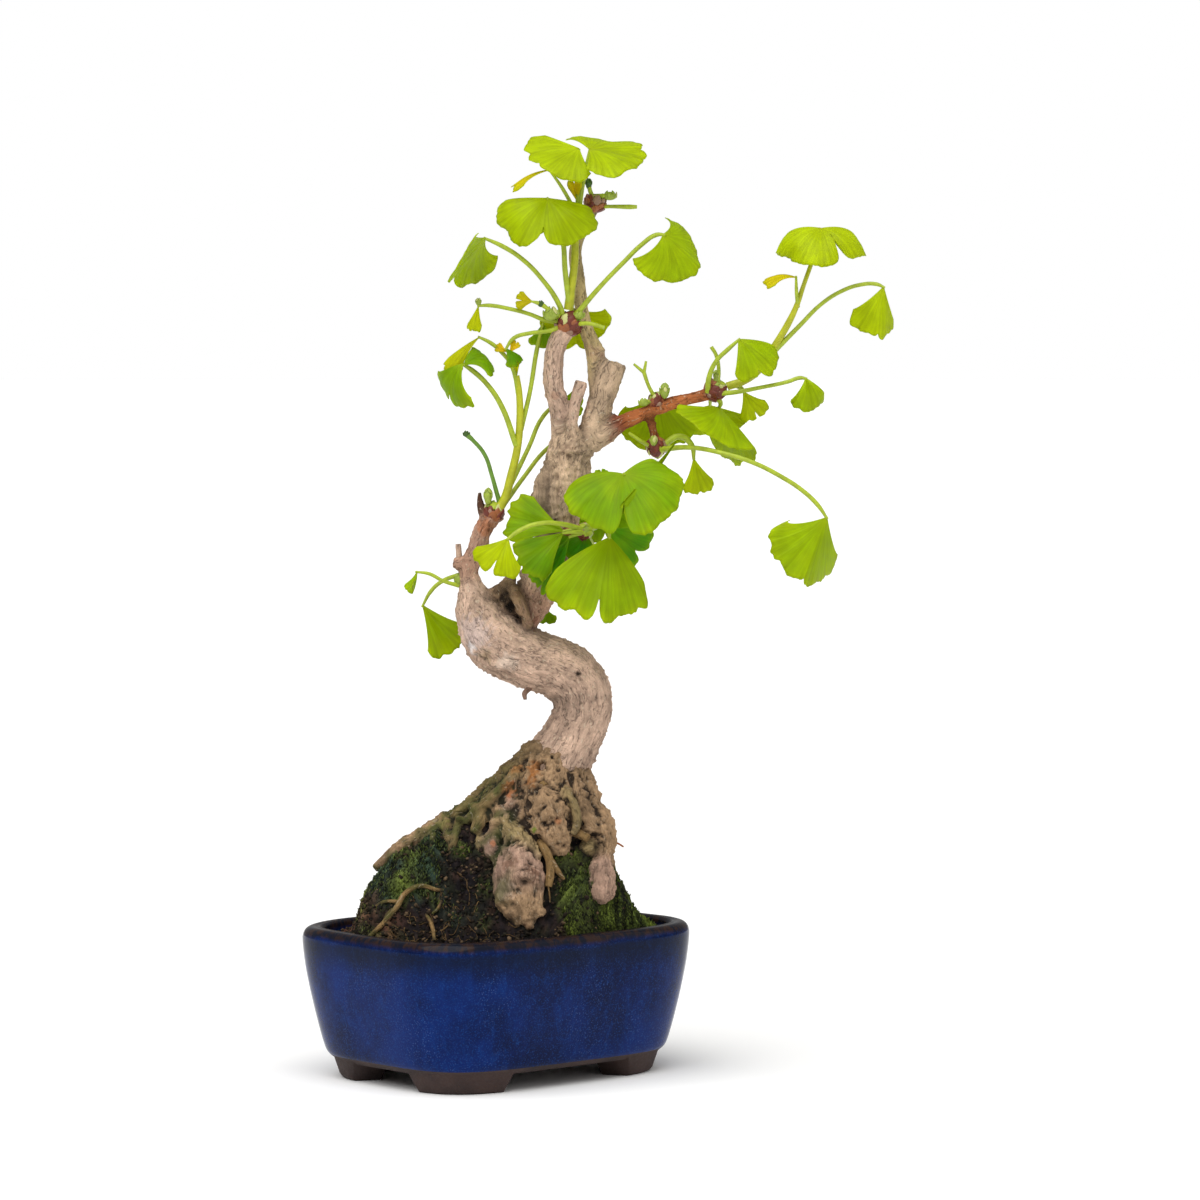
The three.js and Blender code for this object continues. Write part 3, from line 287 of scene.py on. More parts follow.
def leaf_finish():
    """Soft green blade with fine veins that fan out from its base. Its UV map is the place across the
    fan, in millimetres along the edge, and the share of the way from base to edge."""
    tree = new_material("leaf_blade")
    blade = node(tree, "UVMap", uv_map="blade")
    across = node(tree, "SeparateXYZ", {0: blade})
    along = node(tree, "SeparateXYZ", {0: blade}, output=1)
    place = object_place(tree)
    drift = times(tree, cloud(tree, place, 90, 2), 0.9)
    wandering = maths(tree, "ADD", across, drift)

    def veins(spacing):
        ridge = maths(tree, "PINGPONG", wandering, spacing / 2)
        return stepped(tree, ridge, 0, 0.3 * spacing, 1, 0)

    outer = stepped(tree, along, 0.45, 0.75)
    strands = node(tree, "Mix", {0: outer, 2: veins(3.4), 3: veins(1.7)})
    mottle = stepped(tree, cloud(tree, place, 110, 3), 0.3, 0.7, 0.88, 1.08)
    colour = scaled(tree, named(tree, "tint"), mottle)
    radial = cloud(tree, stretched(tree, blade, (0.55, 1.3, 1)), 1.0, 5, 0.6)
    streaks = stepped(tree, radial, 0.3, 0.7, 0.8, 1.14)
    colour = scaled(tree, colour, streaks)
    colour = mixed(tree, times(tree, strands, 0.1), colour, paint("b5c826"))
    base_glow = stepped(tree, along, 0.0, 0.3, 0.2, 0)
    colour = mixed(tree, base_glow, colour, paint("d3d52c"))
    shader = principled(tree, {
        "Base Color": colour,
        "Roughness": stepped(tree, cloud(tree, place, 220, 2), 0.3, 0.7, 0.38, 0.52),
        "Specular IOR Level": 0.14,
        "Normal": bumped(tree, strands, 0.12, 0.0003),
    })
    through = node(tree, "BsdfTranslucent", {"Color": mixed(tree, 0.5, colour, paint("dde600"))})
    both = node(tree, "MixShader", {0: 0.45, 1: shader.outputs[0], 2: through})
    tree.links.new(both, tree.nodes["Material Output"].inputs["Surface"])


def stalk_finish():
    tree = new_material("stalk")
    place = object_place(tree)
    shade = stepped(tree, cloud(tree, place, 300, 3), 0.3, 0.7, 0.85, 1.12)
    colour = scaled(tree, named(tree, "tint"), shade)
    principled(tree, {
        "Base Color": colour,
        "Roughness": 0.42,
        "Specular IOR Level": 0.4,
        "Normal": bumped(tree, cloud(tree, place, 900, 2), 0.15, 0.0003),
    })


def bark_finish(name, cracked, flaked):
    """Weathered bark, with the strength of its cracks and of its pale flakes. Its grain attribute runs
    along the wood in Z and round it in X and Y."""
    tree = new_material(name)
    place = object_place(tree)
    sway = node(tree, "TexNoise", {"Vector": place, "Scale": 170, "Detail": 2}, output=1)
    inputs = {0: named(tree, "grain", 1), 1: scaled(tree, sway, 3.2)}
    grain = node(tree, "VectorMath", inputs, operation="ADD")
    fibres = cloud(tree, stretched(tree, grain, (0.7, 0.7, 0.13)), 1.0, 6, 0.6)
    hairs = cloud(tree, stretched(tree, grain, (2.6, 2.6, 0.5)), 1.0, 3)
    specks = cloud(tree, place, 1300, 3, 0.7)
    cracks = stepped(tree, cloud(tree, stretched(tree, grain, (1.3, 1.3, 0.26)), 1.0, 4), 0.33, 0.41, 1, 0)
    flakes = stepped(tree, cloud(tree, stretched(tree, grain, (0.9, 0.9, 0.55)), 1.0, 3, 0.5), 0.61, 0.67)
    winding = maths(tree, "SUBTRACT", cloud(tree, stretched(tree, grain, (0.36, 0.36, 0.1)), 1.0, 4, 0.5), 0.5)
    lines = stepped(tree, maths(tree, "ABSOLUTE", winding), 0.004, 0.022, 1, 0)
    lines = times(tree, lines, stepped(tree, cloud(tree, place, 160, 2), 0.42, 0.58))
    colour = named(tree, "tint")
    for value, low, high in ((fibres, 0.84, 1.12), (hairs, 0.9, 1.08), (specks, 0.9, 1.08)):
        shade = stepped(tree, value, 0.32, 0.68, low, high)
        colour = scaled(tree, colour, shade)
    colour = mixed(tree, times(tree, flakes, flaked), colour, paint("dccbb0"))
    darker = scaled(tree, colour, 0.34)
    cracks = maths(tree, "MAXIMUM", cracks, lines)
    colour = mixed(tree, times(tree, cracks, cracked), colour, darker)
    relief = maths(tree, "ADD", fibres, times(tree, hairs, 0.4))
    relief = maths(tree, "ADD", relief, times(tree, flakes, 0.3))
    relief = maths(tree, "SUBTRACT", relief, times(tree, cracks, 0.8 * cracked))
    principled(tree, {
        "Base Color": colour,
        "Roughness": stepped(tree, fibres, 0.3, 0.7, 0.95, 0.78),
        "Specular IOR Level": 0.2,
        "Normal": bumped(tree, relief, 0.8, 0.0009),
    })


def earth_finish(name, depth, scale):
    """Crumbly or mossy ground in the colour of the tint attribute, with the depth and scale of its
    crumbs. Its colour follows the crumbs' bump: painted shade in their hollows, painted light on their tops."""
    tree = new_material(name)
    place = object_place(tree)
    crumbs = cloud(tree, place, scale, 6, 0.7)
    # painted shade and light: the crumbs' bump height also darkens the colour in their hollows and lightens it
    # on their tops
    shade = stepped(tree, crumbs, 0.3, 0.7, 0.5, 1.45)
    colour = scaled(tree, named(tree, "tint"), shade)
    principled(tree, {
        "Base Color": colour,
        "Roughness": stepped(tree, crumbs, 0.3, 0.7, 1, 0.8),
        "Specular IOR Level": 0.15,
        "Normal": bumped(tree, crumbs, 0.9, depth),
    })


def glaze_finish():
    """Cobalt glaze, mottled and finely flecked, that thins to brown over the lip."""
    tree = new_material("cobalt_glaze")
    place = object_place(tree)
    height = node(tree, "SeparateXYZ", {0: place}, output=2)
    drift = cloud(tree, place, 60, 3)
    clouds = stepped(tree, cloud(tree, place, 26, 5, 0.6), 0.36, 0.66)
    colour = mixed(tree, clouds, paint("000d36"), paint("02205e"))
    streaks = cloud(tree, stretched(tree, place, (1, 1, 0.4)), 300, 4, 0.65)
    colour = mixed(tree, stepped(tree, streaks, 0.48, 0.75, 0, 0.35), colour, paint("043478"))
    grain = stepped(tree, cloud(tree, place, 1500, 2), 0.5, 0.72)
    colour = mixed(tree, times(tree, grain, 0.36), colour, paint("1c4c94"))
    flecks = node(tree, "TexVoronoi", {"Vector": place, "Scale": 900, "Randomness": 1})
    pale = times(tree, stepped(tree, flecks, 0.12, 0.3, 1, 0), stepped(tree, drift, 0.4, 0.7))
    colour = mixed(tree, times(tree, pale, 0.25), colour, paint("5a78b8"))
    edge = maths(tree, "ADD", height, times(tree, drift, 0.003))
    # a darker, greener band under the lip, mixed toward near-black navy
    start, full, end = DARK_BAND_UNDER_LIP
    band_under_lip = maths(tree, "SUBTRACT", stepped(tree, edge, start, full), stepped(tree, edge, full, end))
    colour = mixed(tree, times(tree, band_under_lip, 0.7), colour, paint("040e1e"))
    lip = mixed(tree, stepped(tree, streaks, 0.4, 0.6), paint("10131f"), paint("2c1e1a"))
    colour = mixed(tree, stepped(tree, edge, *BROWN_LIP), colour, lip)
    principled(tree, {
        "Base Color": colour,
        "Roughness": stepped(tree, clouds, 0.2, 0.8, 0.14, 0.22),
        "Specular IOR Level": 0.1,
        "Normal": bumped(tree, cloud(tree, place, 130, 3), 0.12, 0.0008),
    })


def clay_finish():
    tree = new_material("bare_clay")
    place = object_place(tree)
    grit = cloud(tree, place, 900, 5, 0.7)
    colour = mixed(tree, stepped(tree, cloud(tree, place, 70, 3), 0.35, 0.65), paint("2b1c19"), paint("3a2823"))
    colour = mixed(tree, stepped(tree, grit, 0.55, 0.75, 0, 0.5), colour, paint("553f36"))
    principled(tree, {
        "Base Color": colour,
        "Roughness": stepped(tree, grit, 0.3, 0.7, 0.7, 0.9),
        "Normal": bumped(tree, grit, 0.4, 0.0004),
    })


def mesh_finish():
    """Extruded plastic of the drainage screens."""
    tree = new_material("screen_plastic")
    scuffs = cloud(tree, object_place(tree), 500, 3)
    principled(tree, {
        "Base Color": mixed(tree, stepped(tree, scuffs, 0.3, 0.7), paint("202020"), paint("3a3a38")),
        "Roughness": stepped(tree, scuffs, 0.3, 0.7, 0.5, 0.75),
        "Normal": bumped(tree, scuffs, 0.2, 0.0003),
    })


# ---- shapes ----
def tinted(bm, start, colour):
    """Colours every vertex from number start on."""
    layer = bm.verts.layers.float_color["tint"]
    bm.verts.ensure_lookup_table()
    for vert in bm.verts[start:]:
        vert[layer] = colour


def surfaced(bm, start, material):
    """Gives every face from number start on the material of that number."""
    bm.faces.ensure_lookup_table()
    for face in bm.faces[start:]:
        face.material_index = material


def as_mesh(bm, name):
    """Turns a bmesh into a mesh, and frees it."""
    mesh = bpy.data.meshes.new(name)
    bm.to_mesh(mesh)
    bm.free()
    return mesh


def poured(whole, bm):
    """Adds one bmesh to another, and frees it."""
    mesh = as_mesh(bm, "poured")
    whole.from_mesh(mesh)
    bpy.data.meshes.remove(mesh)


def new_shape():
    bm = bmesh.new()
    bm.verts.layers.float_color.new("tint")
    return bm


def add_tube(bm, points, sides=8, steps=4, colour=BARK, material=0):
    """A smooth tube through points of (x, y, z, radius)."""
    start, first_face = len(bm.verts), len(bm.faces)
    curve = bpy.data.curves.new("tube", "CURVE")
    curve.dimensions = "3D"
    curve.bevel_depth = 1
    curve.bevel_resolution = (sides - 4) // 2
    curve.resolution_u = steps
    curve.use_fill_caps = True
    spline = curve.splines.new("BEZIER")
    spline.bezier_points.add(len(points) - 1)
    for knot, (x, y, z, radius) in zip(spline.bezier_points, points):
        knot.co = (x, y, z)
        knot.radius = radius
        knot.handle_left_type = knot.handle_right_type = "AUTO"
    holder = bpy.data.objects.new("tube", curve)
    bm.from_mesh(holder.to_mesh())
    holder.to_mesh_clear()
    bpy.data.objects.remove(holder)
    bpy.data.curves.remove(curve)
    surfaced(bm, first_face, material)
    tinted(bm, start, colour)


def add_ball(bm, centre, radii, colour=BARK, fineness=2, material=0, turn=None):
    """An ellipsoid, turned so that its own Z points along turn."""
    start, first_face = len(bm.verts), len(bm.faces)
    matrix = Matrix.Translation(centre)
    if turn is not None:
        matrix = matrix @ Vector(turn).to_track_quat("Z", "X").to_matrix().to_4x4()
    matrix = matrix @ Matrix.Diagonal((*radii, 1))
    bmesh.ops.create_icosphere(bm, subdivisions=fineness, radius=1, matrix=matrix)
    surfaced(bm, first_face, material)
    tinted(bm, start, colour)


def new_piece(name, bm, materials, place, replaced=()):
    """Makes the finished object, smooth and with its place in its mesh, and rides it on the root."""
    bmesh.ops.transform(bm, matrix=place, verts=bm.verts)
    mesh = as_mesh(bm, name)
    for material in materials:
        mesh.materials.append(bpy.data.materials[material])
    mesh.shade_smooth()
    piece = bpy.data.objects.new(name, mesh)
    collection.objects.link(piece)
    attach(piece, "root")
    if replaced:
        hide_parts(*replaced)
    return piece


def smooth_step(value, start, end):
    t = min(max((value - start) / (end - start), 0), 1)
    return t * t * (3 - 2 * t)


def smooth_path(points, steps):
    """Points along a smooth curve through the given points."""
    ends = [points[0] * 2 - points[1]] + points + [points[-1] * 2 - points[-2]]
    path = []
    for a, b, c, d in zip(ends, ends[1:], ends[2:], ends[3:]):
        for step in range(steps):
            t = step / steps
            square = 2 * b + (c - a) * t + (2 * a - 5 * b + 4 * c - d) * t**2
            path.append(0.5 * (square + (3 * b - a - 3 * c + d) * t**3))
    return path + [points[-1]]


# ---- pot ----
def pot_outline(angle, inset):
    """A point of the pot's rounded rectangular outline, drawn inset inside its widest."""
    power = 2 / POT_CORNER_POWER
    x = math.copysign(abs(math.cos(angle)) ** power, math.cos(angle))
    y = math.copysign(abs(math.sin(angle)) ** power, math.sin(angle))
    return (POT_HALF_LENGTH - inset) * x, (POT_HALF_WIDTH - inset) * y


def ring_of(bm, places):
    """A closed ring of vertices at the places, as its edges."""
    made = bmesh.ops.create_circle(bm, segments=len(places), radius=1)
    for vert, place in zip(made["verts"], places):
        vert.co = place
    return list(dict.fromkeys(edge for vert in made["verts"] for edge in vert.link_edges))


def loft(bm, rings):
    """A skin over closed rings of places, closed at its first and last ring."""
    loops = [ring_of(bm, places) for places in rings]
    for lower, upper in zip(loops, loops[1:]):
        bmesh.ops.bridge_loops(bm, edges=lower + upper)
    for end in (loops[0], loops[-1]):
        bmesh.ops.edgeloop_fill(bm, edges=end)


POT_PROFILE = [  # inset and height, up the outside, over the lip and down the inside
    (12.5, FOOT_HEIGHT - 1), (9.4, 10), (7.7, 13.5), (5.4, 23), (3, 35), (1, 47), (0, 57.5),
    (0.4, 61), (1.7, 62.9), (3.4, 63.5), (5.2, 63.1), (6.6, 61.5),
    (8.5, 42), (11, 24), (13.5, 17), (16.5, FLOOR_TOP),
]


def pot():
    """The glazed pot with its corner feet, bare clay below and pierced by its drains."""
    profile = smooth_path([Vector(step) for step in POT_PROFILE], 3)
    bm = new_shape()
    rings = []
    for inset, z in profile:
        places = []
        for i in range(POT_SPOKES):
            angle = 2 * math.pi * (i + 0.5) / POT_SPOKES
            x, y = pot_outline(angle, inset)
            wobble = noise.noise(Vector((x, y, z)) * 0.03)
            places.append((x, y, z + 0.5 * wobble * smooth_step(z, 30, 60)))
        rings.append(places)
    loft(bm, rings)
    bmesh.ops.recalc_face_normals(bm, faces=bm.faces)
    for face in bm.faces:
        face.material_index = 1 if face.calc_center_median().z < CLAY_TOP else 0
    for corner in range(4):
        add_foot(bm, corner)
    cut_drains(new_piece("glazed_pot", bm, ["cobalt_glaze", "bare_clay"], POT_PLACE, ["pot"]))


def add_foot(bm, corner):
    """A corner foot with slanted ends and rounded edges, sunk into the pot's underside."""
    base, (near, far) = corner * math.pi / 2, FOOT_REACH
    start, end = base + near, base + far
    if corner % 2:
        start, end = base + math.pi / 2 - far, base + math.pi / 2 - near
    top = FOOT_HEIGHT + 2
    rings = []
    for i in range(FOOT_STEPS + 1):
        high = start + (end - start) * i / FOOT_STEPS
        low = start + FOOT_SLANT + (end - start - 2 * FOOT_SLANT) * i / FOOT_STEPS
        section = (
            (high, 10.4, top), (low, 13, 1.6), (low, 13.8, 0.4), (low, 14.8, 0),
            (low, 24, 0), (low, 25, 1), (high, 25, top),
        )
        rings.append([(*pot_outline(angle, inset), z) for angle, inset, z in section])
    first_face = len(bm.faces)
    loft(bm, rings)
    surfaced(bm, first_face, 1)
    bmesh.ops.recalc_face_normals(bm, faces=bm.faces[first_face:])


def cut_drains(piece):
    """Cuts the two round drain holes through the pot's floor."""
    bm = bmesh.new()
    for side in (-1, 1):
        place = Matrix.Translation((side * DRAIN_SPACING / 2, 0, FLOOR_TOP / 2))
        bmesh.ops.create_cone(
            bm, cap_ends=True, segments=40, radius1=DRAIN_RADIUS, radius2=DRAIN_RADIUS,
            depth=FLOOR_TOP * 2, matrix=POT_PLACE @ place,
        )
    cut(piece, bm)


def cut(piece, bm):
    """Cuts a shape out of a piece."""
    cutter = bpy.data.objects.new("cutter", as_mesh(bm, "cutter"))
    collection.objects.link(cutter)
    modifier = piece.modifiers.new("cut", "BOOLEAN")
    modifier.operation = "DIFFERENCE"
    modifier.solver = "EXACT"
    modifier.use_self = True
    modifier.object = cutter
    apply_modifiers(piece)
    bpy.data.objects.remove(cutter)


def apply_modifiers(piece):
    depsgraph = bpy.context.evaluated_depsgraph_get()
    mesh = bpy.data.meshes.new_from_object(piece.evaluated_get(depsgraph))
    piece.modifiers.clear()
    old = piece.data
    piece.data = mesh
    bpy.data.meshes.remove(old)


# ---- soil and moss ----
def ridge_at(x):
    """Height of the mound's top."""
    for (x0, z0), (x1, z1) in zip(MOUND_RIDGE, MOUND_RIDGE[1:]):
        if x1 > x:
            return z0 + (z1 - z0) * (x - x0) / (x1 - x0)
    return MOUND_RIDGE[-1][1]


def soil_height(x, y):
    """Height of the mound's even surface."""
    fall = smooth_step(abs(y + 2), MOUND_CREST, MOUND_FOOT)
    return ridge_at(x) * (1 - fall) + SOIL_EDGE_HEIGHT * fall


def on_mound(x, y, radius):
    """A point of a root that lies in the mound's surface, a little more than half sunk."""
    return (x, y, soil_height(x, y) + 0.35 * radius, radius)


def pot_reach(x, y, inset):
    """How far out a place lies: 0 in the pot's middle, 1 on the outline drawn inset inside the pot's."""
    flat = Matrix.Rotation(VIEW_TURN, 2) @ Vector((x, y))
    power = POT_CORNER_POWER
    reach = abs(flat.x / (POT_HALF_LENGTH - inset)) ** power + abs(flat.y / (POT_HALF_WIDTH - inset)) ** power
    return reach ** (1 / power)


def rough_height(x, y):
    """The soil's height with its crumbs and hollows, falling to the pot's wall at the edge."""
    place = Vector((x, y, soil_height(x, y)))
    lumps = noise.fractal(Vector((x, y, 0)) * 0.11, 1, 2, 4)
    rough = place.z + SOIL_LUMPS * lumps + SOIL_LUMPS * clods(x, y)
    edge = smooth_step(pot_reach(x, y, SOIL_INSET), 0.92 + 0.03 * noise.noise(place * 0.2), 1)
    return rough + (SOIL_EDGE_HEIGHT - rough) * edge


def clods(x, y):
    """Small clumps on the ground: 1 on their tops, -1 between them."""
    return noise.fractal(Vector((x, y, soil_height(x, y))) * 0.34, 0.7, 2, 3)


MOSS_PATCHES = [  # middle and reach in X and Z, as seen from the front, and how thick it grows
    (-40, 86, 20, 12, 0.95), (-52, 72, 9, 12, 0.6), (-22, 80, 8, 11, 0.5), (40, 78, 16, 15, 0.9),
    (57, 64, 18, 11, 1.3), (-22, 97, 12, 5, 0.65), (30, 92, 7, 7, 0.45), (-12, 68, 10, 6, 0.2),
]


def mossiness(x, y):
    """How much moss grows at a place of the mound, 0 to 1."""
    z = soil_height(x, y)
    patches = noise.noise(Vector((x, y, z)) * 0.09 + Vector((3, 9, 2)))
    most = smooth_step(y, 0, 20) * smooth_step(z, 60, 72)
    for middle, height, wide, high, thick in MOSS_PATCHES:
        off = ((x - middle) / wide) ** 2 + ((z - height) / high) ** 2
        most = max(most, thick * (1 - smooth_step(off, 0.4, 1.3)))
    return min(max(most + 0.7 * patches - 0.05, 0), 1)


def ground_colour(x, y):
    """Black to brown earth, and moss that is cooler at the left and yellower in places, with painted shade
    between the clods and painted light on their tops.
    """
    place = Vector((x, y, soil_height(x, y)))
    moss = mossiness(x, y)
    tone = noise.noise(place * 0.25)
    earth = HUMUS.lerp(HUMUS_BROWN, min(max(tone, 0) * 1.4, 1))
    earth = earth.lerp(LITTER, smooth_step(-x, 34, 46) * smooth_step(-place.z, -80, -72) * max(0, 0.6 + tone))
    green = MOSS_COOL.lerp(MOSS, smooth_step(x, -25, 15)).lerp(MOSS_DARK, min(max(0.45 - tone, 0), 1))
    green = green.lerp(MOSS_BRIGHT, max(0, noise.noise(place * 0.09 + Vector((1, 0, 6)))) * 1.1)
    # painted light and shade: paler on the clods' tops and darker between them, where the soil rises and falls
    # with them
    return earth.lerp(green, moss) * (1 + 1.5 * min(max(clods(x, y), -0.55), 0.8))


def soil():
    """The soil that fills the pot, with its rough mounded top."""
    bm = new_shape()
    bmesh.ops.create_grid(bm, x_segments=SOIL_GRID[0], y_segments=SOIL_GRID[1], size=1)
    bm.verts.ensure_lookup_table()
    layer = bm.verts.layers.float_color["tint"]
    turn = Matrix.Rotation(-VIEW_TURN, 2)
    for vert in bm.verts:
        u, v = vert.co.x, vert.co.y
        reach = max(abs(u), abs(v))
        x, y = pot_outline(math.atan2(v, u), SOIL_INSET)
        x, y = turn @ Vector((x * reach, y * reach))
        vert.co = (x, y, rough_height(x, y))
        vert[layer] = ground_colour(x, y)
    edges = [edge for edge in bm.edges if edge.is_boundary]
    for inset, z in SOIL_WALL:
        made = bmesh.ops.extrude_edge_only(bm, edges=edges)["geom"]
        edges = [item for item in made if isinstance(item, bmesh.types.BMEdge) and item.is_boundary]
        for vert in {vert for edge in edges for vert in edge.verts}:
            flat = turn.inverted() @ vert.co.xy
            angle = math.atan2(
                math.copysign(abs(flat.y / POT_HALF_WIDTH) ** (POT_CORNER_POWER / 2), flat.y),
                math.copysign(abs(flat.x / POT_HALF_LENGTH) ** (POT_CORNER_POWER / 2), flat.x),
            )
            vert.co.xy = turn @ Vector(pot_outline(angle, inset))
            vert.co.z = z
            vert[layer] = HUMUS
    bmesh.ops.edgeloop_fill(bm, edges=edges)
    bmesh.ops.recalc_face_normals(bm, faces=bm.faces)
    new_piece("soil_mound", bm, ["earth"], TREE_PLACE, ["soil"])


def scattered(count, per_batch, add_one):
    """Gathers many small shapes, made in batches so that each batch stays quick, in one bmesh."""
    whole = new_shape()
    for first in range(0, count, per_batch):
        batch = new_shape()
        for _ in range(first, min(count, first + per_batch)):
            add_one(batch)
        poured(whole, batch)
    return whole


def place_on_soil(draw):
    """A place drawn at random, oftener in front and on the steep bank along the wall."""
    x, y = draw.uniform(-72, 74), draw.uniform(-68, 68 if draw.random() < 0.4 else 2)
    reach = pot_reach(x, y, SOIL_INSET)
    if draw.random() < 0.5 and soil_height(x, y) > 64 and 0.6 < reach < 0.93:
        outward = draw.uniform(0.92, 0.99) / reach
        x, y = x * outward, y * outward
    return x, y


def moss():
    """Tufts of short upright shoots over the damp parts of the mound."""
    draw = random.Random(4)

    def add_tuft(bm):
        for _ in range(DRAWS):
            x, y = place_on_soil(draw)
            if pot_reach(x, y, 8) < 1 and draw.random() < mossiness(x, y) - 0.2:
                break
        else:
            return
        size = draw.uniform(0.55, 1.1)
        lean = Vector((draw.uniform(-0.7, 0.7), draw.uniform(-0.9, 0.5), 1))
        height = size * draw.uniform(1.2, 2.4)
        place = Vector((x, y, rough_height(x, y) - 0.4 + height / 2))
        start = len(bm.verts)
        turn = lean.to_track_quat("Z", "X").to_matrix().to_4x4() @ Matrix.Rotation(draw.uniform(0, 6), 4, "Z")
        bmesh.ops.create_cone(
            bm, cap_ends=True, segments=4, radius1=size * 0.5, radius2=size * 0.08,
            depth=height, matrix=Matrix.Translation(place) @ turn,
        )
        tinted(bm, start, ground_colour(x, y) * draw.uniform(0.3, 1.8) + MOSS_BRIGHT * 0.6 * draw.random() ** 4)

    new_piece("moss", scattered(MOSS_TUFTS, 200, add_tuft), ["moss_green"], TREE_PLACE)


def crumbs():
    """Loose grains and bits of bark on the soil."""
    draw = random.Random(8)

    def add_crumb(bm):
        for _ in range(DRAWS):
            x, y = place_on_soil(draw)
            if pot_reach(x, y, 8.5) < 1 and draw.random() > mossiness(x, y):
                break
        size = draw.uniform(0.3, 0.7) + 0.7 * draw.random() ** 4
        lean = Vector((draw.uniform(-1, 1), draw.uniform(-1, 1), 1))
        shade = HUMUS.lerp(HUMUS_BROWN, draw.random()).lerp(MOSS_DARK, 0.7 * draw.random())
        shade = shade.lerp(ROOT_BARK, 0.5 * draw.random() ** 6)
        radii = (size * draw.uniform(0.6, 1.4), size, size * draw.uniform(0.4, 0.8))
        add_ball(bm, (x, y, rough_height(x, y) + 0.2 * size), radii, shade, 1, turn=lean)

    new_piece("soil_crumbs", scattered(CRUMBS, 150, add_crumb), ["earth"], TREE_PLACE)


def fine_roots():
    """Hair-thin pale roots that creep over the soil in front."""
    draw = random.Random(15)
    bm = new_shape()
    for _ in range(FINE_ROOTS):
        middle = draw.choice(((-12, -44), (-16, -38), (-44, -44), (-28, -40), (4, -46)))
        x, y = middle[0] + draw.uniform(-7, 7), middle[1] + draw.uniform(-5, 5)
        heading = draw.uniform(0, 2 * math.pi)
        radius, points = draw.uniform(0.12, 0.3), []
        for _ in range(draw.randint(5, 11)):
            if pot_reach(x, y, 10) < 1:
                points.append((x, y, rough_height(x, y) + draw.uniform(-0.2, 0.5), radius))
            heading += draw.uniform(-0.9, 0.9)
            x += 1.7 * math.cos(heading)
            y += 1.3 * math.sin(heading)
        if len(points) > 2:
            add_tube(bm, points, 6, 3, FINE_ROOT.lerp(HUMUS_BROWN, 0.25 + draw.random() * 0.6))
    new_piece("fine_roots", bm, ["earth"], TREE_PLACE)


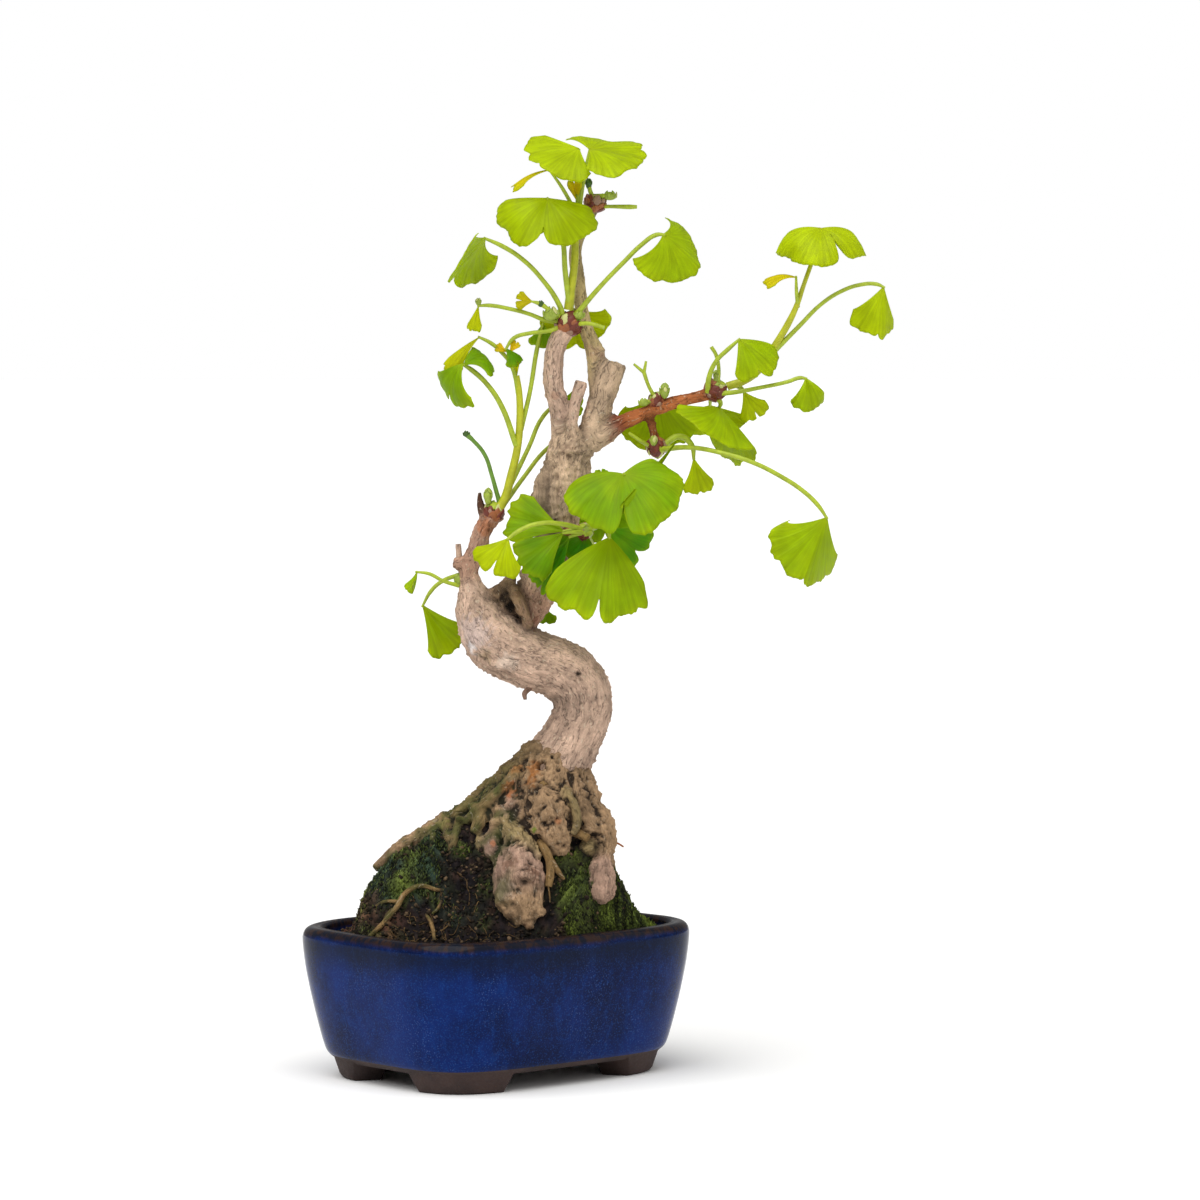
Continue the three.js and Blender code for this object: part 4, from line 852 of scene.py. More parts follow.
# ---- wood ----
LIMBS = [  # colour and points of each limb above the root crown
    # trunk: crown, right bend, long lower reach, left shoulder and the branch that rises from it
    (BARK, [(20, 0, 116, 13), (25, 0, 130.4, 14.2), (32.2, 0, 143, 12.2), (36.4, 0, 155.6, 12.3),
        (32.6, 0, 166.1, 12.4), (23.8, -1, 171.8, 12.6), (11, -2, 176.3, 12.8), (-1.2, -3, 183.6, 13),
        (-8, -3, 194, 9.6), (-9.8, -3, 202, 6.4), (-11.3, -3, 208, 4.4)]),
    (RUSSET, [(-11.3, -3, 208, 4.4), (-11.6, -3, 212.3, 4.1), (-8.2, -3, 221, 4.2), (-5.6, -3, 229.1, 3.9),
        (-2, -3, 235, 4.2)]),
    (LITTER, [(-5, -3, 234, 2.4), (-6.9, -3, 241.7, 1.5), (-6.9, -3, 245.3, 0.9)]),
    (RUSSET, [(-12, -3, 214, 3), (-16, -3, 215.4, 2.8), (-18, -3, 215.8, 2.3)]),
    # splintered flap of old wood between the shoulder and the leader
    (ROOT_BARK, [(-4, -2, 200, 3.4), (1, -3, 203, 3.4), (6, -4, 208.6, 2.6), (7, -4, 212.6, 0.9)]),
    (ROOT_BARK, [(5, -4, 208, 2.4), (8.2, -6, 202, 2.8), (11, -8, 195.6, 2.6), (14, -9, 188.6, 1.8)]),
    (ROOT_BARK, [(0, 1, 194, 8), (5, 1, 200, 6.6), (7.4, 1, 205, 4.4)]),
    # leader, its pointed lower end and its fork
    (BARK, [(10, 5, 178, 7), (11.5, 5, 187, 3.8), (13.5, 4, 194, 5), (16, 4, 202, 6)]),
    (RUSSET, [(14.2, -2, 187.6, 1.6), (14.8, -1, 192, 4.2), (15.6, 0, 198, 7.2), (17.5, 1, 206, 9)]),
    (RUSSET, [(21, 2, 204, 6), (27, 0, 210, 4.6), (31.4, -1, 215, 3)]),
    (LEADER_BARK, [(17.5, 1, 206, 9), (21.5, 2, 215, 8.8), (25, 1, 226, 8.2), (26.5, 0, 237, 8.6),
        (28, 0, 246, 9.6), (29.8, 0, 253, 10.1), (30.6, 0, 261, 9.1), (32.6, 0, 266.5, 9.3),
        (33.4, 0, 271, 6)]),
    (LEADER_BARK, [(25, -1, 255, 5), (21.4, -1.5, 248, 5.2), (19.4, -2, 242, 4.8), (21.4, -2, 236.4, 3.8),
        (25, -2, 233.4, 3)]),
    (BARK, [(28, 0, 262, 6), (27.8, 0, 268.5, 4.8), (27, 0, 275.5, 4.2), (26.3, -1, 281, 4.5),
        (24.4, -2, 288.4, 4.2), (23.9, -2, 297, 4.2), (25.4, -3, 306.7, 4), (27.6, -3, 311, 4),
        (29.6, -3, 315, 4.1)]),
    (BARK, [(31.2, -4, 262, 4), (31.8, -4.6, 272, 2.7), (32.8, -4.6, 281, 2.4), (34.4, -4, 287, 2.8),
        (35.8, -4, 291.6, 2.7)]),
    (LEADER_BARK, [(37.5, 0, 264, 6.2), (40, 0, 272, 5.2), (43.2, 0, 281, 5.5), (46, 0, 290, 6.2),
        (47.6, 0, 295.5, 6.5), (48.8, 0, 299.4, 5.9)]),
    (THIN_BARK, [(43.5, 1, 286, 4.6), (42.2, 2, 297, 4.2), (41.4, 2, 303, 4), (39.6, 3, 308.6, 3.4),
        (37.6, 4, 313, 3), (36, 5, 320, 2.9), (34.4, 5, 334, 2.9), (33.2, 5, 346.7, 2.7), (36.2, 4, 355, 2.5),
        (39.7, 2, 361.4, 2.6), (41, 1, 366.5, 3.6)]),
    # right branch and its lower spur
    (LEADER_BARK, [(38, 0, 266, 4.6), (43, 0, 268.6, 5), (46.6, 0, 270.6, 4.6), (48.6, 0, 272, 3.8)]),
    (SCALE_BROWN, [(48.4, 0, 271.8, 3.7), (50.2, 0, 272.8, 3.9), (52, 0, 273.8, 3.5)]),
    (RED_BARK, [(52, 0, 273.8, 3.1), (54.2, 0, 274.8, 2.9), (62, 0, 277.8, 2.8), (72, 0, 282, 2.6),
        (81.3, -1, 284.6, 2.2), (87, -2, 286, 2.5), (90.8, -2, 287.6, 3.2)]),
    (RED_BARK, [(64, 1, 278, 1.8), (66, 2.5, 270, 1.7), (67, 2, 265, 2.6)]),
    (RED_BARK, [(66.4, 0, 279.5, 2), (66.8, -1, 283, 2.3)]),
    (RED_BARK, [(28, -4, 228, 3), (37, -12, 228.8, 2.4)]),
]

LIMB_KNOBS = [  # centre and radii
    ((-11.4, -3, 208.4), (5.1, 5.1, 1)), ((-11.3, -3, 217.4), (4.9, 4.9, 1.1)),
    ((25, -1.6, 286.6), (4.9, 4.9, 1.2)), ((43, 0, 303.4), (2.9, 3, 2.4)), ((48.8, 0, 275.6), (1.6, 1.9, 2.5)),
    ((46.6, -1, 267.6), (2.6, 2.6, 2)), ((30.8, -1, 262.4), (9.7, 9.7, 1.4)), ((2, -13, 174), (6, 3, 3)),
    ((28, -10, 169), (6, 3.4, 5)),
]

ROOTS = [  # colour and points of each root and lobe of the crown
    (ROOT_BARK, [(24.5, 0, 134, 13.6), (22, -2, 127, 15.5), (21, -4, 118, 17.5), (22, -5, 108, 18),
        (22, -5, 97, 16.4), (21, -4, 84, 9)]),
    (RIDGE_BARK, [(12.5, -4, 133.4, 5.6), (17, -5, 134, 7), (23, -6, 131, 9)]),
    # left ridge, with strands that hang down in front of it
    (RIDGE_BARK, [(17, -3, 127, 12), (8, -4, 121, 10.5), (-2, -4, 114.5, 8.5), (-11, -3.5, 109, 7),
        (-20, -3, 104.6, 5.6)]),
    (ROOT_BARK, [(-20, -3, 104.6, 5.8), (-28, -3, 101, 4.8), (-37, -3, 96.8, 4), (-45, -3, 91.3, 3),
        (-51.5, -3, 86.5, 1.8)]),
    (RIDGE_BARK, [(-20, -7, 106, 2.6), (-20.6, -12, 102, 1.9), (-19, -17, 98.5, 1.6), (-19.5, -20, 94.5, 1.3),
        (-21.5, -22, 90, 1)]),
    (RIDGE_BARK, [(-26, -6, 103, 2.4), (-26.5, -12, 99.5, 1.6), (-27.5, -16, 95, 1.1)]),
    (RIDGE_BARK, [(-15, -8, 108, 2.6), (-16.5, -14, 103, 1.8), (-17.5, -19, 97, 1.2)]),
    (RIDGE_BARK, [(-2, -10, 115, 5), (-6, -15, 109, 3.6), (-9, -18, 103, 2.2)]),
    (ROOT_BARK, [(4, -10, 119, 6), (2, -15, 112, 4.6), (1, -19, 106, 3.6), (-1, -21, 101, 3)]),
    (ROOT_PINK, [(8, -12, 122, 5), (7, -15, 116, 4.4), (6.5, -17, 110, 4)]),
    (ROOT_BARK, [(10, -8, 114, 12), (11, -13, 106, 10), (14, -18, 99, 7.5), (18, -20, 94, 5)]),
    (ROOT_BARK, [(26, -8, 108, 10), (30, -11, 101, 7), (32, -14, 96, 4)]),
    # small lumps left of the front lobe
    (LICHEN, [(-4, -17, 102, 2.5), (-5.6, -19, 98.5, 3.6), (-5, -21, 94.5, 3.3), (-4, -22, 92.5, 1.5)]),
    (ROOT_PINK, [(-1.5, -19, 103, 3), (-1.6, -22, 99, 3.6), (-0.5, -25, 95, 3.8), (1, -27, 91.5, 2)]),
    # arm and front lobe with its wrinkled end
    (LICHEN, [(4.5, -16, 110, 4.4), (5.5, -20, 106, 5), (8.4, -23.5, 101.5, 5.6), (12.5, -26, 96.5, 5.8),
        (15.5, -27.5, 92, 5)]),
    (ROOT_PINK, [(7, -22, 98, 6), (9, -27, 91, 9.6), (9.6, -31, 85, 11), (10, -33.4, 80, 10.6)]),
    (ROOT_BARK, [(10, -33.4, 80, 10.6), (10.8, -35.6, 75, 9.6), (11.8, -38, 70, 7.8),
        (12.6, -40.6, 65.6, 4.8)]),
    (RIDGE_BARK, [(10, -12, 128, 3.4), (4, -14.6, 122, 3), (-2, -15.6, 117, 2.6), (-8, -14, 112, 2.4),
        (-13, -12, 107, 1.8)]),
    # pear-shaped lobe in the middle
    (ROOT_BARK, [(17, -15, 121, 5), (20, -18, 116, 7.6), (22, -20, 109.5, 9), (24, -21, 102.5, 7.6),
        (26.8, -21.5, 97, 5.2), (28, -21.5, 94, 2.4)]),
    # right lobe under its shoulder, and the strands on it
    (ROOT_BARK, [(30, -4, 129, 7), (35.5, -6, 121, 6.3), (38.8, -7, 114, 6), (42.5, -9, 107.5, 6.3),
        (44.3, -11, 101.5, 6.4), (44.5, -14, 96, 5), (44, -17.5, 91, 4.6)]),
    (ROOT_PINK, [(44, -17.5, 91, 4.6), (43.8, -21, 86.5, 5.8), (43.9, -24, 81.5, 6.7), (44, -26, 77, 5.2),
        (44.2, -26.5, 74, 2)]),
    (ROOT_BARK, [(31, -12, 124, 4.5), (34.5, -14, 117, 3.8), (37.5, -15.5, 110, 3.8), (40.5, -16.5, 103, 4)]),
    (LICHEN, [(28, -19, 121, 2.2), (31.6, -21, 117, 2), (33.8, -22.4, 112, 1.8), (34, -23, 107, 1.8),
        (32, -23.4, 103.5, 1.6)]),
    (LICHEN, [(34, -17, 97, 2), (38, -18.5, 96.6, 3.6), (41, -19, 97, 2.4)]),
    # three roots at the back
    (ROOT_BARK, [(22, 8, 120, 13), on_mound(20, 20, 8), on_mound(15, 33, 6), on_mound(9, 45, 3.6)]),
    (ROOT_BARK, [(32, 6, 116, 10), on_mound(40, 14, 7), on_mound(47, 25, 5), on_mound(50, 38, 3)]),
    (ROOT_BARK, [(12, 6, 118, 9), on_mound(0, 16, 6), on_mound(-10, 28, 4.5), on_mound(-20, 42, 2.6)]),
]

ROOT_KNOBS = [  # centre and radii
    ((22.4, -27.4, 111.6), (3, 2.4, 3)), ((19.4, -40.4, 72), (2, 2, 2)), ((3.4, -40, 78), (3, 2.4, 3.4)),
    ((13, -42, 88), (4, 3, 2.6)), ((14.6, -44, 67), (2.2, 2, 2)), ((16.4, -27, 105.6), (2.2, 1.8, 2.2)),
    ((8, -20, 97), (6, 6, 5)), ((40, -13, 99), (5, 6, 4)), ((17, -17, 124), (2.6, 2.6, 3)),
    ((0, -21, 108), (2.4, 2.4, 2)), ((5, -22, 109), (2, 2.4, 2.6)), ((34, -16, 114), (2.4, 2.4, 3.4)),
    ((38, -18, 105), (2.2, 2, 2.8)), ((28, -21, 105), (2.4, 2.6, 3)), ((-9, -13, 114), (2.6, 2.6, 1.8)),
    ((-15, -12, 108.6), (2.2, 2.2, 1.6)), ((26, -15, 127), (3, 3, 2.4)), ((31, -12, 127.6), (3.6, 3, 2)),
]

TWIGS = [  # colour and points of cut stubs, thin roots and the twig under the trunk
    (BARK, [(-15.5, -3, 217, 1.4), (-16, -3, 223.4, 1.2)]),
    (BARK_GROOVE, [(15.4, -4, 165.4, 1.4), (13.8, -7, 162.8, 1.2), (12, -8.6, 161, 1.2),
        (12.2, -9, 158.4, 0.7)]),
    (FINE_ROOT, [(18.7, -24, 100, 2), (20.5, -28, 97.4, 1.9), (22.6, -30, 92.5, 1.9), (22.8, -32, 87, 1.8),
        (22, -33.4, 82.3, 1.6)]),
    (FINE_ROOT, [(23.2, -30, 93, 1.4), (26, -30.4, 88.5, 1.2), (28.6, -30.6, 85, 0.6)]),
    (FINE_ROOT, [(22, -34, 83, 0.35), (22.6, -35, 79, 0.3), (22.8, -36, 76, 0.25)]),
    (FINE_ROOT, [(31.5, -19.5, 104, 1.8), (35, -21.5, 103, 1.9), (38.6, -23, 101.3, 1.7)]),
    (FINE_ROOT, [(17, -14, 126, 1.9), (19.4, -17.5, 124, 1.7), (21, -19.6, 122.6, 1.6)]),
    (FINE_ROOT, [(-20.5, -29, 80.6, 0.6), (-23.4, -31, 80.6, 0.8), (-31, -30.6, 82.4, 1),
        (-37.2, -31.2, 79.4, 1.1), (-40.4, -34.5, 74.4, 1.2), (-45.6, -37, 68, 1.2), (-50, -40, 64, 1),
        (-52.8, -41.4, 61.5, 0.8)]),
    (FINE_ROOT, [(-39, -33, 76, 0.8), (-46.4, -28.5, 75.4, 0.8), (-49.6, -27, 73.6, 0.6)]),
    (FINE_ROOT, [(-42, -34.5, 73, 1), (-44.4, -33.4, 70.5, 1.1), (-46, -36, 67, 1)]),
    (FINE_ROOT, [(-45, -36.8, 68, 1), (-42, -38.5, 66.5, 0.8), (-38.6, -40, 64.4, 0.7)]),
    (FINE_ROOT, [(-28.6, -36, 71, 0.7), (-27.4, -38, 69.6, 0.9), (-25.6, -42, 66, 0.9),
        (-24.6, -46.9, 61.4, 0.7)]),
    (FINE_ROOT, [(-22.2, -34, 76.6, 0.5), (-23.6, -36, 73.6, 0.7), (-26, -37, 71.4, 0.5)]),
    (RED_BARK, [(47, -10, 99, 0.5), (51, -10, 98, 0.45), (53.4, -10, 96.6, 0.35)]),
]

SPURS = {  # centre and radius of each short shoot's head, and the way it points
    "left": ((-1.4, -3, 236), 3.8, (0.15, 0, 1)),
    "top": ((30.2, -3, 315), 4.4, (0.4, -0.1, 1)),
    "apex": ((41.4, 1, 366.4), 3.9, (0.3, -0.1, 1)),
    "right": ((91.2, -2, 287.8), 3.9, (1, -0.2, 0.4)),
    "lowerRight": ((67, 1.6, 264.4), 3.6, (0.1, -0.1, -1)),
    "innerRight": ((66.9, -1, 283.4), 2.6, (0, -0.4, 1)),
    "centre": ((37, -12, 229), 2.9, (0.7, -0.7, 0.2)),
}

STAINS = [  # centre, reach, colour and strength of dark knots, coloured patches and stains, of a painted sheen and of the painted shade in the flap's cavity
    # on the trunk and its branches
    ((1.5, -15, 186), 0.9, PITCH, 0.5), ((34.3, -11, 169.5), 1.9, ROOT_DARK, 0.9),
    ((44, -7, 161), 0.8, PITCH, 0.5), ((15, -6, 196), 8, RUSSET, 0.5), ((15.6, -6, 190), 4, SCALE_BROWN, 0.35),
    # the pale purple-grey patch on the left shoulder, at (-9, -12, 186), is a painted sheen
    ((28, -4, 212), 6, SCALE_BROWN, 0.6), ((-9, -12, 186), 9, paint("b3a9ab"), 0.35),
    # the near-black spots round the hole under the splintered flap, from (6.4, -6, 197.6) to (2, -4, 204), are
    # dark rot with painted shade in that cavity
    ((-11, -12, 180), 3, paint("e0d8d4"), 0.7), ((6.4, -6, 197.6), 3.6, PITCH, 0.95),
    ((3.6, -5, 200.6), 3, PITCH, 0.8), ((9.6, -8, 192.6), 3, PITCH, 0.95), ((2, -4, 204), 4.5, ROOT_DARK, 0.6),
    ((9.4, -8, 203), 2.6, LITTER, 0.5), ((14.6, -5, 239.4), 2.2, ROOT_DARK, 0.8),
    ((18.6, -8, 235.4), 2.6, ROOT_DARK, 0.9), ((24, -9, 232), 3, ROOT_DARK, 0.9),
    ((36, -4, 292.6), 2.2, ROOT_DARK, 0.9), ((24.6, -6, 285.4), 2.4, RUSSET, 0.7),
    ((48.8, 0, 277.6), 1.6, PITCH, 0.7), ((47.6, -2, 268), 2.6, SCALE_BROWN, 0.5),
    ((41.4, -3, 304), 4, RUSSET, 0.5), ((-14, -3, 208), 3, LITTER, 0.35), ((-8, -6, 226), 6, RUSSET, 0.6),
    ((-4, -6, 231), 5, RED_BARK, 0.6), ((-11.4, -6, 217.4), 5, RUSSET, 0.5), ((-18, -4, 216), 2, LITTER, 0.6),
    ((30, -8, 262.4), 3, LITTER, 0.4), ((12, -14, 160), 3, BARK_PALE, 0.5), ((5, -15, 174), 5, BARK_PALE, 0.5),
    ((-5, -15, 177), 4, LICHEN, 0.5), ((-2, -12, 204), 3, LICHEN, 0.5),
    # on the root crown
    ((16.4, -16, 130), 4.2, RUST, 0.75), ((15, -18, 124.6), 3, RUST, 0.7), ((6, -17, 121), 4.2, RED_BARK, 0.75),
    ((8, -14, 130), 3.4, RUST, 0.5), ((15.8, -40, 88.8), 4.4, LITTER, 0.75), ((6.5, -37, 92), 4, LITTER, 0.6),
    ((8, -44, 70), 7, ROOT_DARK, 0.35), ((19, -38, 84), 4, ROOT_DARK, 0.5),
    ((4, -42, 82), 5, paint("a48e80"), 0.5), ((14, -46, 64), 5, LITTER, 0.4),
    ((6, -20, 113), 5, ROOT_PINK, 0.6), ((-1, -26, 99.6), 1.8, RED_BARK, 0.6),
    ((16.4, -29, 105.6), 1.4, MOSS_BRIGHT, 0.9), ((26, -28.6, 109), 2, RED_BARK, 0.5),
    ((-3, -12, 121), 8, MOSS, 0.4), ((-12, -9, 112), 8, MOSS, 0.45), ((-24, -7, 104), 6, MOSS_BRIGHT, 0.35),
]

HOLES = [  # centre, reach and depth of rotted holes and crevices, which are also painted near black: dark rot with painted shade
    ((18.9, -16, 131.4), 2.2, 5), ((23.1, -14, 134.4), 1.1, 2), ((10.6, -18.5, 121.3), 1, 2.2),
    ((13, -24, 110.4), 1.6, 4), ((4.2, -29.6, 100.4), 1.8, 3), ((34.3, -12, 169.5), 0.9, 1),
    ((6.2, -7, 197.6), 2, 1.6),
]

RINGED_KNOTS = [  # centre and reach
    ((22.2, -29, 111.6), 4), ((18.4, -43, 74.6), 2.8), ((31, -13, 169.6), 6), ((-1.6, -25, 99.5), 2.4),
]


def grain_of(places, limbs):
    """For each place: the colour of the limbs near it, its place in their fibres and their radius, blended."""
    rows = []
    for tint, points in limbs:
        path = smooth_path([Vector(point) for point in points], FIBRE_STEPS)
        side, travelled = Vector((0.3, 1, 0.2)), math.copysign(points[0][2], points[-1][2] - points[0][2])
        for here, after in zip(path, path[1:]):
            ahead = (after - here).xyz.normalized()
            side = (side - ahead * side.dot(ahead)).normalized()
            rows.append((*here.xyz, here.w, *side, *ahead.cross(side), *ahead, travelled, *tint))
            travelled += (after - here).xyz.length
    rows = np.array(rows)
    centre, radius, axes = rows[:, :3], rows[:, 3], rows[:, 4:13]
    origin = np.einsum("nij,nj->ni", axes.reshape(-1, 3, 3), centre)
    origin[:, 2] -= rows[:, 13]
    found = []
    for some in np.array_split(places, len(places) // FIBRE_BATCH + 1):
        squared = (some**2).sum(axis=1)[:, None] + (centre**2).sum(axis=1) - 2 * some @ centre.T
        outside = np.sqrt(np.maximum(squared, 0)) - radius
        weight = np.exp(-FIBRE_BLEND * (outside - outside.min(axis=1, keepdims=True)))
        weight /= weight.sum(axis=1, keepdims=True)
        turned = (weight @ axes).reshape(-1, 3, 3)
        fibre = np.einsum("nij,nj->ni", turned, some) - weight @ origin
        found.append(np.concatenate((weight @ rows[:, 14:], fibre, (weight @ radius)[:, None]), axis=1))
    return [(Vector(row[:4]), Vector(row[4:7]), row[7]) for row in np.concatenate(found).tolist()]


def grown_together(limbs, knobs, grid):
    """The limbs and knobs as one even skin of small squares, in a bmesh."""
    rough = new_shape()
    for _, points in limbs:
        add_tube(rough, points, 20, 6)
    for centre, radii in knobs:
        add_ball(rough, centre, radii, fineness=3)
    holder = bpy.data.objects.new("rough_wood", as_mesh(rough, "rough_wood"))
    collection.objects.link(holder)
    remesh = holder.modifiers.new("remesh", "REMESH")
    remesh.mode = "VOXEL"
    remesh.voxel_size = grid
    apply_modifiers(holder)
    smoothing = holder.modifiers.new("smoothing", "SMOOTH")
    smoothing.iterations = SMOOTHINGS
    apply_modifiers(holder)
    bm = new_shape()
    bm.from_mesh(holder.data)
    bpy.data.objects.remove(holder)
    return bm


def bark_over(bm, limbs, relief):
    """Moves each point of the wood out or in by its relief, then colours it, with painted shade and dirt in its
    hollows and a painted highlight on its raised points.
    """
    bm.normal_update()
    fibres = bm.verts.layers.float_vector.new("grain")
    tint = bm.verts.layers.float_color["tint"]
    found = grain_of(np.array([vert.co for vert in bm.verts]), limbs)
    moves = [relief(vert.co, fibre, radius) for vert, (_, fibre, radius) in zip(bm.verts, found)]
    for vert, move in zip(bm.verts, moves):
        vert.co += vert.normal * move
    bm.normal_update()
    near, far = depths(bm, FINE_ROUNDS), depths(bm, BROAD_ROUNDS)
    for vert, (colour, fibre, radius), fine, broad in zip(bm.verts, found, near, far):
        vert[fibres] = fibre
        vert[tint] = bark_colour(vert.co, colour, fibre, (0.8 * fine + 0.3 * broad) * smooth_step(radius, 1, 7))


def depths(bm, rounds):
    """How far each point lies below its surroundings, smoothed over so many rounds of neighbours."""
    bm.verts.index_update()
    places = np.array([vert.co for vert in bm.verts])
    normals = np.array([vert.normal for vert in bm.verts])
    ends = np.array([[edge.verts[0].index, edge.verts[1].index] for edge in bm.edges])
    ends = np.concatenate((ends, ends[:, ::-1]))
    count = np.bincount(ends[:, 0], minlength=len(places))
    even = places
    for _ in range(rounds):
        gathered = [np.bincount(ends[:, 0], even[ends[:, 1], axis], len(places)) for axis in range(3)]
        even = np.stack(gathered, axis=1) / count[:, None]
    return ((even - places) * normals).sum(axis=1).tolist()


def wood():
    """Trunk and branches, then the root crown and its roots, then the thin stubs and roots."""
    heads = [(centre, (radius, radius, radius)) for centre, radius, _ in SPURS.values()]
    trunk = grown_together(LIMBS, LIMB_KNOBS + heads, TRUNK_GRID)
    bark_over(trunk, LIMBS, trunk_relief)
    new_piece("trunk", trunk, ["weathered_bark"], TREE_PLACE, ["wood"])
    crown = grown_together(ROOTS, ROOT_KNOBS, CROWN_GRID)
    bark_over(crown, ROOTS, crown_relief)
    new_piece("root_crown", crown, ["root_bark"], TREE_PLACE, ["wood"])
    twigs = new_shape()
    for _, points in TWIGS:
        add_tube(twigs, points, 10, 5)
    bark_over(twigs, TWIGS, twig_relief)
    new_piece("twigs_and_thin_roots", twigs, ["root_bark"], TREE_PLACE, ["wood"])


def trunk_relief(place, fibre, radius):
    """Grooves along the fibres, shallow dents and warts, with flutes on the leader's stub."""
    grooves = noise.fractal(Vector((fibre.x * 0.32, fibre.y * 0.32, fibre.z * 0.06)), 0.8, 2, 4)
    dents = noise.fractal(place * 0.1, 0.8, 2, 3)
    warts = max(noise.fractal(place * 0.5, 0.8, 2, 2) - 0.2, 0)
    size = min(radius / 9, 1)
    rough = smooth_step(place.z, 200, 225) * 0.5 + 0.5
    knobbly = smooth_step(place.z, 208, 222) * (1 - smooth_step(place.z, 258, 272))
    dents += knobbly * 1.1 * noise.fractal(place * 0.36, 0.7, 2, 3)
    flutes = smooth_step(place.z, 264, 274) * smooth_step(place.x, 36, 39)
    flutes *= noise.noise(Vector((fibre.x * 0.42, fibre.y * 0.42, fibre.z * 0.02)))
    splinters = math.exp(-((place - Vector((8, -7, 200))).length / 9) ** 2)
    splinters *= noise.noise(Vector((fibre.x * 0.9, fibre.y * 0.9, fibre.z * 0.08)))
    move = size * (0.6 * rough * grooves + 0.75 * dents + 1.3 * warts) + 0.9 * flutes + 1.2 * splinters
    return move + 0.6 * ringed(place) - hollow(place)


def crown_relief(place, fibre, radius):
    """Lumps and winding folds, with knots that have rings round them."""
    size = smooth_step(radius, 1, 6)
    wound = Vector((fibre.x, fibre.y, fibre.z * 0.45)) + noise.noise_vector(place * 0.13) * 4
    folds = 0.5 - 2.4 * abs(noise.noise(wound * 0.2))
    wrinkles = 0.5 - 2.2 * abs(noise.noise(wound * 0.5))
    lumps = noise.fractal(place * 0.17, 0.9, 2, 2)
    pits = noise.fractal(place * 0.55, 0.7, 2, 3)
    plain = 1 - 0.5 * smooth_step(-place.z, -96, -88)
    move = size * (1.1 * lumps + plain * (0.9 * folds + 0.7 * wrinkles + 0.5 * pits))
    return move + ringed(place) - hollow(place)


def ringed(place):
    """Rise of the rings round the knots."""
    rise = 0
    for centre, reach in RINGED_KNOTS:
        off = (place - Vector(centre)).length / reach
        if off < 1.5:
            rise += 0.3 * math.cos(off * 9) * (1 - smooth_step(off, 0.8, 1.5))
    return rise


def twig_relief(place, fibre, radius):
    return radius * 0.12 * noise.noise(place * 0.6)


def hollow(place):
    """Depth of the rotted holes."""
    depth = 0
    for centre, reach, deep in HOLES:
        off = (place - Vector(centre) + noise.noise_vector(place * 0.7) * 0.6).length
        if off < 2 * reach:
            depth = max(depth, deep * (1 - smooth_step(off, 0.5 * reach, 1.2 * reach)))
    return depth


def bark_colour(place, colour, fibre, depth):
    """The wood's colour with its streaks, stains, a painted sheen, hollows darkened by painted shade and dirt,
    raised points paled by a painted highlight, rotted holes darkened by dark rot and painted shade, moss and
    damp foot.
    """
    streaks = noise.fractal(Vector((fibre.x * 0.22, fibre.y * 0.22, fibre.z * 0.03)), 0.9, 2, 4)
    blotches = noise.fractal(place * 0.07 + Vector((8, 1, 4)), 0.9, 2, 3)
    colour = colour * (1 + 0.5 * min(max(blotches * 0.8 + streaks * 0.45, -0.6), 0.6))
    for centre, reach, stain, strength in STAINS:
        near = (place - Vector(centre)).length / reach
        if near < 1.6:
            ragged = near + 0.6 * noise.noise(place * 0.6)
            colour = colour.lerp(stain, strength * (1 - smooth_step(ragged, 0.5, 1.1)))
    low = smooth_step(-place.z, -138, -128)
    # painted shade with dirt: hollows, found from how far each point lies below its surroundings, are darkened
    # toward near black, more strongly low down; raised points are made up to 30% paler as a painted highlight
    dirt_and_painted_shade = ROOT_DARK.lerp(MOSS_DARK, low * smooth_step(-place.x, -14, 2))
    colour = colour * (1 + min(max(-0.8 * depth, 0), 0.3))
    colour = colour.lerp(dirt_and_painted_shade, min(max((0.6 + 2 * low) * depth - 0.1, 0), 0.94))
    mossy = low * smooth_step(-place.x, -12, 4) * (noise.noise(place * 0.16) + 0.15)
    colour = colour.lerp(MOSS, min(max(2.2 * mossy, 0), 0.7))
    # the rotted holes darkened to near black by their depth: dark rot with painted shade
    colour = colour.lerp(PITCH, min(hollow(place) * 0.8, 0.95))
    if place.z < 116:
        above = place.z - rough_height(place.x, place.y)
        damp = 1 - smooth_step(above + 2.5 * noise.noise(place * 0.3), -0.5, 2.6)
        colour = colour.lerp(ground_colour(place.x, place.y), 0.9 * damp)
    return colour


# ---- foliage ----
ROOT_IN_STALK = 0.6  # how far a blade's base sinks into the end of its stalk
BLADE_SHAPE = {
    "notch": 0.2, "cleft": 0, "slit": 0.05,  # depth, place and half width of the cleft
    "shift": 0, "lop": 0, "flare": 0.26,  # lopsidedness, the shorter side, and how hollow the sides are
    "curl": -0.5, "droop": 0.4, "dome": 0.03,  # bends across and along the blade, and its bulge
    "fold": (0, 0),  # rise of its two halves, in degrees
    "phase": 0,
}


def fan_edge(blade, across):
    """The edge's share of the radius: rounded shoulders, the cleft, waves and fine teeth."""
    phase = blade["phase"]
    shoulders = 0.08 * abs(across) ** 3 + 0.16 * smooth_step(abs(across), 0.72, 1.05) ** 2
    shoulders += abs(blade["lop"]) * max(across * math.copysign(1, blade["lop"]), 0) ** 2
    cleft = blade["notch"] * math.exp(-abs(across - blade["cleft"]) / blade["slit"])
    waves = 0.026 * math.sin(8 * across + phase) + 0.018 * math.sin(19 * across + 2 * phase)
    seed = Vector((across * blade["half_fan"] * blade["radius"] * 0.16, 3 * phase, blade["radius"]))
    teeth = 0.05 * noise.noise(seed) + 0.026 * noise.noise(seed * 3) - 0.014 * abs(noise.noise(seed * 7))
    return 1 - shoulders - cleft + waves + teeth


